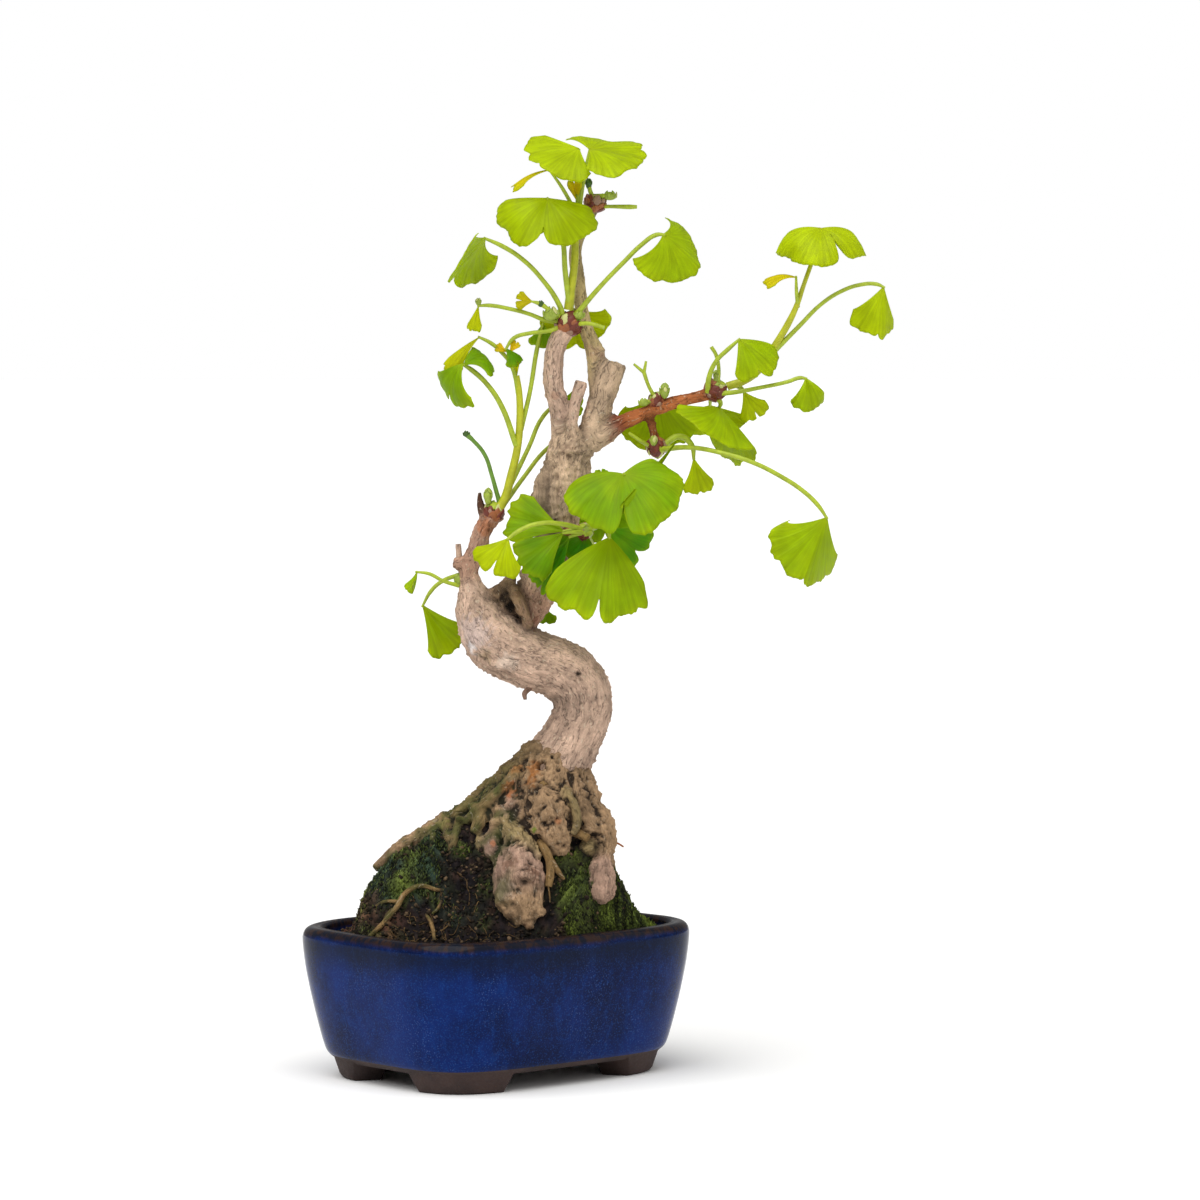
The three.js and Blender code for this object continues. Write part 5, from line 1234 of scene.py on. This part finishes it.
def blade_point(blade, across, along):
    """A point of the blade's middle surface: across the fan (-1 to 1) and along it (0 to 1)."""
    radius, phase, flare = blade["radius"], blade["phase"], blade["flare"]
    angle = blade["half_fan"] * (across + blade["shift"] * (1 - across * across)) * (1 - flare + flare * along)
    reach = radius * along * (1 + along * along * (fan_edge(blade, across) - 1))
    u, v = reach * math.sin(angle), reach * math.cos(angle)
    w = 0.035 * radius * along * along * math.sin(5 * angle + phase)
    w += blade["dome"] * radius * math.sin(math.pi * along) * smooth_step(abs(across), 0, 0.5)
    arc = across * blade["half_fan"] * radius
    w += 0.4 * along * noise.noise(Vector((arc * 0.2, along * 1.5, 7 * phase + radius)))
    w += along**3 * 0.35 * noise.noise(Vector((arc * 0.45, along, 5 * phase - radius)))
    fold = math.radians(blade["fold"][0] if u < 0 else blade["fold"][1])
    w += (math.sqrt(u * u + 1) - 1) * math.sin(fold)
    u, w = bent(u * math.cos(fold), w, blade["curl"] / radius)
    forward, down = bent(v, -w, blade["droop"] / radius)
    return Vector((u, forward, -down))


def bent(along, over, curvature):
    """Bends a strip: distance along it and height over it, for a curvature that lifts its ends."""
    if abs(curvature) < 1e-6:
        return along, over
    turn = curvature * along
    lift = (1 - math.cos(turn)) / curvature
    return math.sin(turn) / curvature - over * math.sin(turn), lift + over * math.cos(turn)


class Spray:
    """The leafy growth of one spur. Its tone runs from 0, yellow, to 1, green."""

    def __init__(self, name, tone):
        self.name, self.tone = name, tone
        self.bm = new_shape()
        self.bm.loops.layers.uv.new("blade")
        self.draw = random.Random(name)

    def leaf(self, at, toward, face, radius, fan, tone=None, **shape):
        """A ginkgo blade: at its base, growing toward a direction, with its upper face turned to face."""
        blade = BLADE_SHAPE | shape | {"radius": radius, "half_fan": math.radians(fan / 2)}
        ahead = Vector(toward).normalized()
        across = ahead.cross(Vector(face)).normalized()
        stance = Matrix((across, ahead, across.cross(ahead))).transposed().to_4x4()
        stance.translation = Vector(at) - ahead * ROOT_IN_STALK
        columns = max(18, round(2 * blade["half_fan"] * radius / BLADE_COLUMN))
        rows = max(8, round(radius / BLADE_ROW))
        if tone is None:
            tone = self.tone + self.draw.uniform(-0.12, 0.12)
        colour = LEAF_YELLOW.lerp(LEAF_GREEN, max(tone, 0)).lerp(ORANGE, max(-tone, 0))

        bm = new_shape()
        bmesh.ops.create_grid(bm, x_segments=columns, y_segments=rows, size=1)
        uv = bm.loops.layers.uv.new("blade")
        tint = bm.verts.layers.float_color["tint"]
        for cell in bm.faces:
            for loop in cell.loops:
                arc = loop.vert.co.x * blade["half_fan"] * radius
                loop[uv].uv = (arc + 40, (loop.vert.co.y + 1) / 2)
        for vert in bm.verts:
            across_fan, along = vert.co.x, (vert.co.y + 1) / 2
            vert.co = blade_point(blade, across_fan, along)
            dapple = noise.noise(vert.co * 0.12 + Vector((tone * 9, radius, 0)))
            side = min(abs(across_fan), 1) ** 8
            vert[tint] = colour.lerp(LEAF_YELLOW, min(max(0.45 * along**7 + 0.3 * side + 0.35 * dapple, 0), 1))
        bmesh.ops.remove_doubles(bm, verts=bm.verts, dist=0.02)
        bmesh.ops.solidify(bm, geom=bm.faces, thickness=BLADE_THICKNESS)
        bmesh.ops.recalc_face_normals(bm, faces=bm.faces)
        bmesh.ops.transform(bm, matrix=stance, verts=bm.verts)
        poured(self.bm, bm)

    def leaf_on(self, points, toward, face, radius, fan, **shape):
        """A leaf on its stalk, its base held in the stalk's end."""
        self.stalk(points[:-1] + [(*points[-1][:3], 0.6 * points[-1][3])])
        end, before = Vector(points[-1][:3]), Vector(points[-2][:3])
        at = end + (before - end).normalized() * ROOT_IN_STALK
        self.leaf(at, toward, face, radius, fan, **shape)

    def stalk(self, points, colour=None):
        """A stalk, bud stem or the green stem of a shoot."""
        green = STALK if points[0][3] < 1.9 else SHOOT_STEM
        add_tube(self.bm, [(x, y, z, 0.88 * radius) for x, y, z, radius in points], 10, 5, colour or green, 1)

    def ball(self, centre, radii, dark=False):
        """A fat bud of overlapping pale scales."""
        core = Vector(radii) * 0.82
        colours = [BUD_DARK] if dark else [BUD_GREEN, BUD_CREAM, BUD_GREEN]
        add_ball(self.bm, centre, core, colours[0], 3, 1)
        add_scales(self.bm, centre, core, (0, 0, 1), (1.4, 0.7), 4, colours, self.draw, 1)

    def cup(self, spur):
        """The pale leaf bases and bud scales round a spur's head."""
        centre, radius, axis = SPURS[spur]
        radii = Vector((1, 1, 1)) * (radius + 0.4)
        colours = [BUD_GREEN, SCALE_BROWN, BUD_CREAM, SCALE_BROWN, STALK]
        add_scales(self.bm, centre, radii, axis, (1.1, 0.6), 6, colours, self.draw, 1)

    def finish(self, slot):
        new_piece(self.name + "_growth", self.bm, ["leaf_blade", "stalk"], TREE_PLACE, [self.name])


def add_scales(bm, centre, radii, axis, tilts, count, colours, draw, material=0):
    """Rings of overlapping pointed scales round a head, each ring tilted from its axis by an angle."""
    frame = Vector(axis).to_track_quat("Z", "X").to_matrix()
    size = sum(radii) / 3
    for ring, tilt in enumerate(tilts):
        for i in range(count):
            around = 2 * math.pi * (i + 0.5 * ring) / count + draw.uniform(-0.2, 0.2)
            lean = tilt + draw.uniform(-0.12, 0.12)
            east, north, low, high = math.cos(around), math.sin(around), math.sin(lean), math.cos(lean)
            out, up = Vector((low * east, low * north, high)), Vector((-high * east, -high * north, low))
            place = Vector(away * radius for away, radius in zip(out, radii))
            tip = (up + 0.25 * out).normalized()
            side = tip.cross(out).normalized()
            turned = frame @ Matrix((side, tip.cross(side), tip)).transposed()
            start = len(bm.verts)
            reach = size * draw.uniform(0.45, 0.75)
            scale = Matrix.Diagonal((reach * 0.7, reach * 0.26, reach, 1))
            colour = colours[draw.randrange(len(colours))]
            whole = Matrix.Translation(Vector(centre) + frame @ place) @ turned.to_4x4() @ scale
            add_ball(bm, (0, 0, 0), (1, 1, 1), colour, 2, material)
            bm.verts.ensure_lookup_table()
            for vert in bm.verts[start:]:
                if vert.co.z > 0:
                    vert.co.x *= 1 - 0.6 * vert.co.z**2
                vert.co = whole @ vert.co


def spur_scales():
    """The brown leaf scars and bud scales that ring the spurs."""
    draw = random.Random(21)
    bm = new_shape()
    for centre, radius, axis in SPURS.values():
        colours = [SCALE_BROWN, RED_BARK, SCALE_BROWN, RUSSET]
        radii = Vector((1, 1, 1)) * (radius + 0.2)
        add_scales(bm, centre, radii, axis, (2.2, 1.8, 1.4), 9, colours, draw)
    new_piece("spur_scales", bm, ["stalk"], TREE_PLACE)


def apex_spray(spray):
    spray.ball((47.6, -1, 369), (3.6, 2, 2.2))
    spray.stalk([(42, 0, 369, 1.2), (44.4, -1, 369, 1.2), (47, -1, 369.2, 1.2)])
    spray.ball((38.8, -1, 374), (1.6, 1.5, 2.8), dark=True)
    spray.stalk([(40.5, 0, 368.5, 1.1), (39.4, -1, 371, 1.1), (38.8, -1, 374, 1)])
    spray.stalk([(43, 0, 364.6, 1.1), (48, -2, 364.6, 0.9), (56, -3, 364.4, 1.2), (59, -3, 364.4, 0.9)])


def top_shoot(spray):
    spray.stalk([(30.4, -3, 321.6, 2.4), (31.4, -4, 330, 2.1), (32.8, -4, 340, 1.9), (33.2, -4, 352, 1.8),
        (34.2, -4, 366, 1.5)])
    spray.stalk([(34.2, -4, 364, 1.2), (34.4, -5, 375, 1.1), (34.4, -6, 388.4, 1.1)])
    spray.stalk([(34.6, -4, 362, 1.2), (36.5, -5, 375, 1.1), (39.6, -6, 388, 1.1)])
    spray.leaf_on([(30.6, -4, 324, 1.4), (28.9, -7, 338, 1.3), (28, -8, 350, 1.2), (24.4, -9, 362, 1.1),
        (21.4, -11, 368, 1.1)], (-0.14, -0.7, -0.9), (-0.05, -1, 0.6), 24.5, 188, notch=0.5, slit=0.07,
        curl=-0.75, droop=0.5, dome=0.1, phase=1)
    spray.leaf((34.4, -6, 388.6), (-0.85, -0.6, -0.32), (0.15, -0.6, 0.9), 22.8, 136, notch=0.1, flare=0.1,
        curl=-0.25, droop=0.1, phase=2)
    spray.leaf((39.6, -6, 388.4), (0.97, 0.24, 0.04), (0, -0.38, 0.92), 24.6, 214, notch=0.12, flare=0.05,
        curl=-0.3, droop=0.12, phase=3)
    spray.leaf_on([(34.4, -4, 360, 1), (27.8, -8, 372, 0.9), (22, -10, 380, 0.8)], (-1, -0.1, -0.15),
        (-0.2, -0.5, 0.85), 18, 38, notch=0.1, fold=(0, -45), curl=0, droop=0.6, tone=-0.6)
    spray.leaf((33.8, -4.6, 367), (-0.15, -0.2, 1), (0, -1, 0.2), 9.5, 60, fold=(40, 40), curl=0, droop=0,
        tone=-0.8)
    spray.leaf_on([(33.6, -3, 358, 1), (28, 3, 363, 1), (20, 8, 366, 1)], (0.05, 0.85, -0.45), (0, 0.5, 0.9),
        17, 150, droop=0.6, phase=2)


def top_spray(spray):
    spray.cup("top")
    spray.leaf_on([(28, -4, 319, 1.5), (26.4, -5, 323.6, 1.3), (19.4, -8, 334, 1.1), (11, -10, 342.5, 1.1),
        (2.4, -12, 348, 1.1), (-5, -13, 351.2, 1.1)], (-0.66, -0.05, -0.75), (-0.72, 0.3, 0.62), 24, 170,
        notch=0.15, curl=-0.5, droop=0.2, phase=2)
    spray.leaf_on([(32.6, -5, 318, 1.4), (36, -6, 322.3, 1.3), (45.2, -8, 332.8, 1.1), (53.4, -8, 341.2, 1.1),
        (61, -8, 348.6, 1.1), (67, -8, 352.6, 1.1), (70.8, -8, 352.6, 1.1)], (0.77, 0.05, -0.64),
        (0.4, -0.75, 0.41), 21.4, 204, notch=0.08, fold=(-18, -10), curl=-0.4, droop=0.3, phase=1)
    spray.leaf_on([(27, -4, 316.4, 1.3), (20.4, -5, 317.2, 1.1), (14.1, -6, 319.6, 1), (5.7, -8, 321.8, 1),
        (-2.7, -9, 323.2, 1), (-7.7, -10, 323, 1)], (-0.25, -0.1, -1), (-0.3, -1, 0), 11.5, 46, notch=0.1,
        fold=(-30, -30), curl=0, droop=0, phase=1, tone=-0.2)
    spray.ball((-7.2, -10, 324.6), (1.5, 1.3, 1.8))
    spray.stalk([(33, -5, 315.4, 1.1), (39.3, -9, 315.6, 1), (45.2, -10, 313.9, 1)])
    spray.leaf_on([(27, -5, 318.4, 1), (22, -8, 321.6, 0.9), (18.8, -9, 323.7, 1.2), (14.5, -9, 325, 0.7)],
        (-1, 0, 0.12), (0, -1, 0.3), 7.5, 84, notch=0.4, curl=-0.3, droop=0, tone=-0.6)
    spray.ball((18.8, -9, 323.7), (1.6, 1.5, 1.5), dark=True)
    spray.ball((22.9, -7, 319.4), (3.8, 2.6, 3.2))
    spray.ball((34.8, -6.4, 319), (2.8, 2, 2))
    spray.leaf_on([(31, 0, 318, 1.1), (31.6, 5, 321.4, 1), (32.8, 11, 321.8, 1)], (0.05, 0.3, -1),
        (0.1, -1, -0.1), 17.5, 176, notch=0.15, curl=0.5, droop=-0.3, phase=2, tone=0)
    spray.leaf_on([(27, -5, 314.6, 1.1), (22.5, -7, 312.7, 1), (14.1, -9, 311.6, 1), (7.5, -10, 309.5, 1),
        (4, -10.6, 304.7, 1)], (0.75, -0.4, -0.7), (0.4, -0.8, 0.5), 9.6, 76, notch=0.3, fold=(-20, -20),
        curl=0, phase=1, tone=1)
    spray.leaf((4.4, -9.8, 304), (-0.8, -0.1, 0.45), (0, -1, 0.3), 5.6, 56, curl=0, tone=-1)
    spray.leaf((6, -10, 303.8), (0.55, -0.1, 0.9), (0, -1, 0.3), 6, 56, curl=0, tone=-1)


def left_shoot(spray):
    spray.cup("left")
    spray.ball((-3.4, -5, 243.2), (2, 2, 4.2))
    spray.stalk([(1, -4, 238, 2.4), (3.4, -4, 242, 2.2), (6.2, -5, 252, 2), (8.8, -6, 263, 1.9),
        (10, -7, 275.3, 1.8), (9.6, -7, 287.9, 1.6), (8.8, -7, 294, 1.2)])
    spray.leaf_on([(9.8, -7, 283.7, 1.2), (6.4, -7.4, 298.4, 1), (2.2, -7.6, 303.9, 1), (-2.2, -7.8, 307.6, 1),
        (-7.5, -8, 310.2, 1)], (-1, -0.15, -0.8), (-0.3, -0.8, 0.5), 21, 36, notch=0.1, fold=(-20, -30), curl=0,
        tone=-0.25)
    spray.leaf_on([(8.4, -7, 264.8, 1.4), (2.2, -10, 281.6, 1.3), (-4, -12, 290.8, 1.2), (-10, -13, 296.3, 1.2),
        (-13.6, -14, 298.6, 1.1)], (0.55, -0.4, 0.9), (-0.5, -0.6, 0.55), 17, 100, notch=0.1, curl=-0.4,
        droop=2.6, phase=1)
    spray.leaf((-13.6, -14, 298.8), (-0.75, -0.2, -0.65), (-0.5, -0.75, 0.5), 21.5, 96, notch=0.4, slit=0.1,
        curl=-0.5, droop=1.7, phase=2)
    spray.stalk([(2, -3, 238.8, 1.3), (0.2, -4, 245, 1.1), (-1.8, -5, 252.2, 1), (-4.8, -5, 260.9, 1),
        (-9.8, -5, 267, 1), (-12, -5, 269, 1.3)], DARK_STALK)
    spray.ball((-12.4, -5, 269.4), (1.7, 1.6, 1.5), dark=True)
    spray.leaf_on([(10.4, -6, 271.1, 1.2), (14.3, -4, 287.9, 1.1), (17, 1, 304.7, 1.1), (19.6, 5, 316, 1)],
        (-0.02, 0.1, -1), (-0.2, -1, -0.2), 11, 84, notch=0.1, curl=0.3, droop=0.2, phase=1)
    spray.leaf_on([(5, -4, 246, 1.3), (13.4, 4, 263.5, 1.1), (20, 11, 277.4, 1.1), (28, 13, 284, 1.1)],
        (0.9, 0.3, -0.25), (0, -1, 0.3), 11, 110, curl=0.3, droop=0.2, notch=0.1)
    spray.leaf_on([(4, -4, 241, 1.2), (12, 6, 252, 1.1), (20, 13, 262, 1.1), (30, 16, 270, 1.1)],
        (0.2, 1, -0.3), (0, 0.4, 1), 14, 110, curl=-0.7, droop=0.6, phase=2)
    spray.leaf((8.7, -7, 294), (-0.05, -0.1, 1), (0, -1, 0.2), 7.5, 36, fold=(40, 40), curl=0, droop=0.1,
        tone=-0.3)


def lower_left_spray(spray):
    spray.ball((-15.8, -3, 208), (2.2, 3, 3.6))
    spray.leaf_on([(-15.8, -4, 206, 1.1), (-22.4, -6.4, 208.1, 0.9), (-27.9, -7, 211, 0.9),
        (-33.8, -8, 211.9, 0.9)], (0.02, -0.2, -1), (-1, -0.6, 0), 10.5, 80, notch=0.1, fold=(50, 50), curl=0,
        droop=-0.5, phase=1)
    spray.leaf_on([(-15.8, -2, 210.4, 1.1), (-22.4, 2.4, 207.8, 1), (-27.9, 8, 203, 1), (-31.7, 12, 196.3, 1)],
        (0.62, 0.25, -0.8), (-0.2, -0.9, 0), 25, 64, notch=0.05, fold=(20, 20), curl=0, droop=0.1, phase=1)


def centre_spray(spray):
    spray.cup("centre")
    spray.leaf_on([(38, -13, 230, 1.5), (44, -18, 238, 1.2), (50, -25, 248, 1.2), (53.6, -30, 253.5, 1.2)],
        (0.33, -0.66, -0.8), (0, -1, 0.8), 28.8, 200, notch=0.55, cleft=0.17, slit=0.03, lop=-0.3, flare=-0.15,
        curl=-0.4, droop=0.35, dome=0.06, phase=1)
    spray.leaf_on([(38, -13, 229.4, 1.4), (42, -17, 231.4, 1.1), (46.5, -20, 230, 1.1),
        (47.6, -21.4, 226, 1.1)], (-0.17, -0.5, -1), (0.05, -1, 0.5), 36.5, 96, tone=0.5, notch=0.33,
        slit=0.045, lop=-0.08, flare=-0.1, fold=(-14, 0), curl=-0.2, droop=0.3, phase=2)
    spray.leaf_on([(38, -13, 229, 1.3), (33, -13.4, 229.6, 1.1), (28, -13, 229, 1.1)], (-1, 0.05, 0.33),
        (0, -1, 0.3), 25.5, 62, notch=0.06, curl=-0.3, droop=0.3)
    spray.leaf_on([(38, -14, 228.6, 1.3), (33, -17, 229, 1.1), (27.6, -18, 228.4, 1.1)], (-0.76, -0.35, -0.6),
        (0.1, -1, 0.3), 23.5, 66, notch=0.1, droop=0.3, phase=2)
    # tone 1.2, past the green, gives these two leaves a deeper green: partly their own colour, partly painted
    # shade
    spray.leaf_on([(38, -14, 228.6, 1.2), (34, -15.6, 228, 1.1), (30.4, -15.6, 226.6, 1.1)], (-0.5, 0, -0.85),
        (0.1, -1, 0.1), 26.5, 40, notch=0.1, droop=0.2, phase=3, tone=1.2)
    spray.leaf((38, -12.4, 228), (-0.45, 0, -0.9), (0.1, -1, 0.2), 14, 116, notch=0.1, droop=0.2, phase=3,
        tone=1.2)
    spray.leaf_on([(37, -14, 229.6, 1.4), (27, -20, 232.4, 1.2), (18, -24, 232.6, 1.1), (10, -26, 229.7, 1.1),
        (4.9, -27, 226, 1.1)], (-0.45, -0.35, -0.8), (0, -1, 0.35), 17.5, 100, notch=0.45, phase=1, tone=0)
    spray.leaf_on([(39, -11, 229.6, 1.3), (44, -5, 231, 1.1), (48, 0, 229.4, 1)], (0.72, 0.1, -0.62),
        (0, -1, 0.1), 19.5, 104, notch=0.3, slit=0.08, curl=-0.3, droop=0.2, tone=1.1)
    spray.leaf_on([(40, -12, 231, 1.3), (43, 0, 238, 1.1), (44, 13, 243, 1.1)], (0.1, 0.6, -0.85),
        (0, 0.9, 0.5), 22, 160, droop=0.5, phase=2)
    spray.leaf_on([(39, -12, 231, 1.2), (42, -14, 240, 1), (44.6, -16, 250, 0.9)], (-0.1, 0, 1), (0, -1, 0.1),
        6.4, 70, curl=0, droop=0)
    spray.leaf_on([(38.6, -10, 227, 1.1), (40.5, 3, 220, 1), (34, 13, 210, 0.9), (24, 14.6, 200, 0.9),
        (20.7, 13, 194, 0.9)], (-0.1, 0, -1), (0, -1, 0), 6.5, 130, notch=0.3, curl=0.8, droop=0.2)


def inner_right_spray(spray):
    spray.cup("innerRight")
    spray.stalk([(66.6, -2, 284.6, 1), (63.7, -4, 290, 0.9), (61.6, -4, 296.3, 1)])
    spray.stalk([(61.9, -4, 295.2, 0.9), (57.6, -4, 298.8, 0.6)])
    spray.stalk([(61.9, -4, 295.2, 0.9), (62.8, -4, 300, 0.6)])
    spray.ball((70.6, -3, 287.4), (2.4, 2.2, 3.8))
    spray.ball((61.8, -3, 282.6), (2.6, 1.8, 1.8))
    spray.stalk([(63.4, -2.6, 283, 1), (66, -2, 284, 1.2)])
    spray.leaf_on([(68, 1, 284.6, 1.3), (68, 8, 286.4, 1.1), (68, 13, 286, 1.1)], (-0.02, 0.05, -1),
        (0, -1, 0.05), 24.5, 136, tone=0.4, notch=0.35, lop=0.14, curl=0.6, droop=-0.2, phase=2)


def right_spray(spray):
    spray.cup("right")
    spray.leaf_on([(92, -3, 285, 1.4), (94, -2, 282.6, 1.2), (93.4, 0, 280.2, 1.2)], (0.6, -0.55, -0.6),
        (0.5, -0.4, 0.7), 28, 200, notch=0.08, fold=(-55, 0), curl=-0.2, droop=0.2, phase=2)
    spray.leaf_on([(93, -4, 286.6, 1.4), (98.1, -6, 286.8, 1.2), (110.7, -8, 289, 1), (122, -9, 291.4, 1),
        (127, -9.2, 293, 1), (130, -9.4, 292.6, 1)], (0.3, -0.5, -0.85), (0.1, -0.7, 0.7), 15, 88, notch=0.1,
        curl=-1.3, droop=1.1, dome=0.1, phase=1)
    spray.leaf_on([(88.6, -5, 287, 1.4), (89, -8, 292.9, 1.3), (91.8, -10, 299.7, 1.1), (97, -12, 305, 1.1),
        (101.9, -13, 309.3, 1.1)], (0.75, -0.3, -0.7), (0.1, -0.75, 0.65), 20.5, 96, notch=0.3, cleft=0.25,
        slit=0.07, flare=0, curl=-0.6, droop=0.4, phase=1)
    spray.stalk([(92.6, -4, 290, 1), (93.2, -5, 296, 0.9), (92, -5, 302.6, 0.9), (90, -5, 306, 0.9)])
    spray.ball((92, -5, 293.4), (1.3, 1.3, 3.4))
    spray.leaf_on([(90, 0, 286, 1.3), (90, 9, 284, 1.1), (90, 15, 281, 1.1)], (0, 0.8, -0.5), (0, 0.5, 0.8),
        18.5, 150, droop=0.5, phase=1)


def right_shoot(spray):
    spray.stalk([(96.8, -0.6, 289.4, 2.1), (104.4, -1, 292.1, 2), (110.7, -1, 297.1, 2), (117, -2, 306.8, 1.8),
        (122, -3, 315.2, 1.7), (125.4, -4, 322.3, 1.4), (128.8, -3, 332, 1.1), (133, -1, 344, 1.1),
        (136, -3, 355.6, 1.1)])
    spray.leaf_on([(100, 0, 290, 1.2), (103, 1.4, 288.4, 1.1), (104, 1.6, 286.6, 1)], (0.5, 0.1, -0.85),
        (0, -1, 0.1), 14, 74, notch=0.3, droop=0.2, phase=1)
    spray.leaf((136, -3, 355.4), (0, -0.9, -0.45), (0, -0.42, 0.9), 22.5, 208, notch=0.65, cleft=-0.28,
        slit=0.035, curl=-1.05, droop=0.75, dome=0.1, phase=1)
    spray.leaf_on([(126.3, -3.6, 322.5, 1), (125.6, -6, 329, 0.9), (125.4, -6, 335.6, 0.9)], (-1, -0.1, 0.22),
        (0.1, -0.35, 0.95), 14.8, 56, notch=0.1, curl=-0.5, droop=0.9, phase=1, tone=-0.6)
    spray.leaf_on([(116, -2, 303.6, 1.3), (127.5, -1, 315.2, 1.1), (135.9, 0, 323.6, 1), (144.3, 0, 329.1, 1),
        (152.7, 0, 332, 1), (159.4, 0, 332.2, 1), (162.8, -1, 330.7, 1)], (-0.14, -0.3, -1), (0, -0.9, 0.3), 22,
        98, notch=0.06, fold=(-55, -15), curl=-0.4, droop=0.2, phase=3)


def lower_right_spray(spray):
    spray.cup("lowerRight")
    spray.leaf_on([(68.6, 0, 263, 1.5), (81.3, -14, 264, 1.2), (93.9, -24, 261.9, 1.1),
        (106.5, -26, 258.1, 1.1), (119.1, -25, 251.8, 1.1), (127.5, -23, 246.3, 1.1), (133.8, -22, 240.4, 1.1),
        (138, -22, 234.4, 1.1)], (-0.36, -0.3, -0.94), (0.15, -0.95, 0.25), 30, 128, notch=0.08, lop=0.2,
        fold=(-50, -5), curl=-0.3, droop=0.25, phase=2)
    spray.leaf_on([(70, 1, 264.6, 1.6), (77, 3, 268.4, 1.6), (82, 4, 264.8, 1.4), (83, 4, 258.5, 1.2)],
        (0.2, 0, -1), (0.1, -1, 0), 16, 62, notch=0.12, curl=-0.3, droop=0.2, tone=0)
    spray.stalk([(65, 0, 264, 1), (60, -4, 267, 0.8), (55.6, -5, 270, 0.7)])
    spray.ball((66, -3, 266.6), (1.8, 1.4, 2.6))


# ---- assembly ----
for finish in (glaze_finish, clay_finish, leaf_finish, stalk_finish, mesh_finish):
    finish()
bark_finish("weathered_bark", 0.72, 0.4)
bark_finish("root_bark", 0.5, 0.2)
earth_finish("earth", 0.001, 420)
earth_finish("moss_green", 0.0008, 900)

set_camera()
set_studio()
for side in ("left", "right"):
    frame["nodes"]["drain_screen_" + side].material_slots[0].material = bpy.data.materials["screen_plastic"]
for make in (pot, soil, moss, crumbs, fine_roots, wood, spur_scales):
    make()
for make, slot, tone in (
    (apex_spray, "leaf", 0.5), (top_shoot, "young_leaf", 0.25), (top_spray, "leaf", 0.3),
    (left_shoot, "leaf", 0.75), (lower_left_spray, "leaf", 0.5), (centre_spray, "leaf", 0.75),
    (inner_right_spray, "leaf", 0.75), (right_spray, "leaf", 0.35), (right_shoot, "young_leaf", 0.05),
    (lower_right_spray, "leaf", 0.3),
):
    spray = Spray(make.__name__, tone)
    make(spray)
    spray.finish(slot)
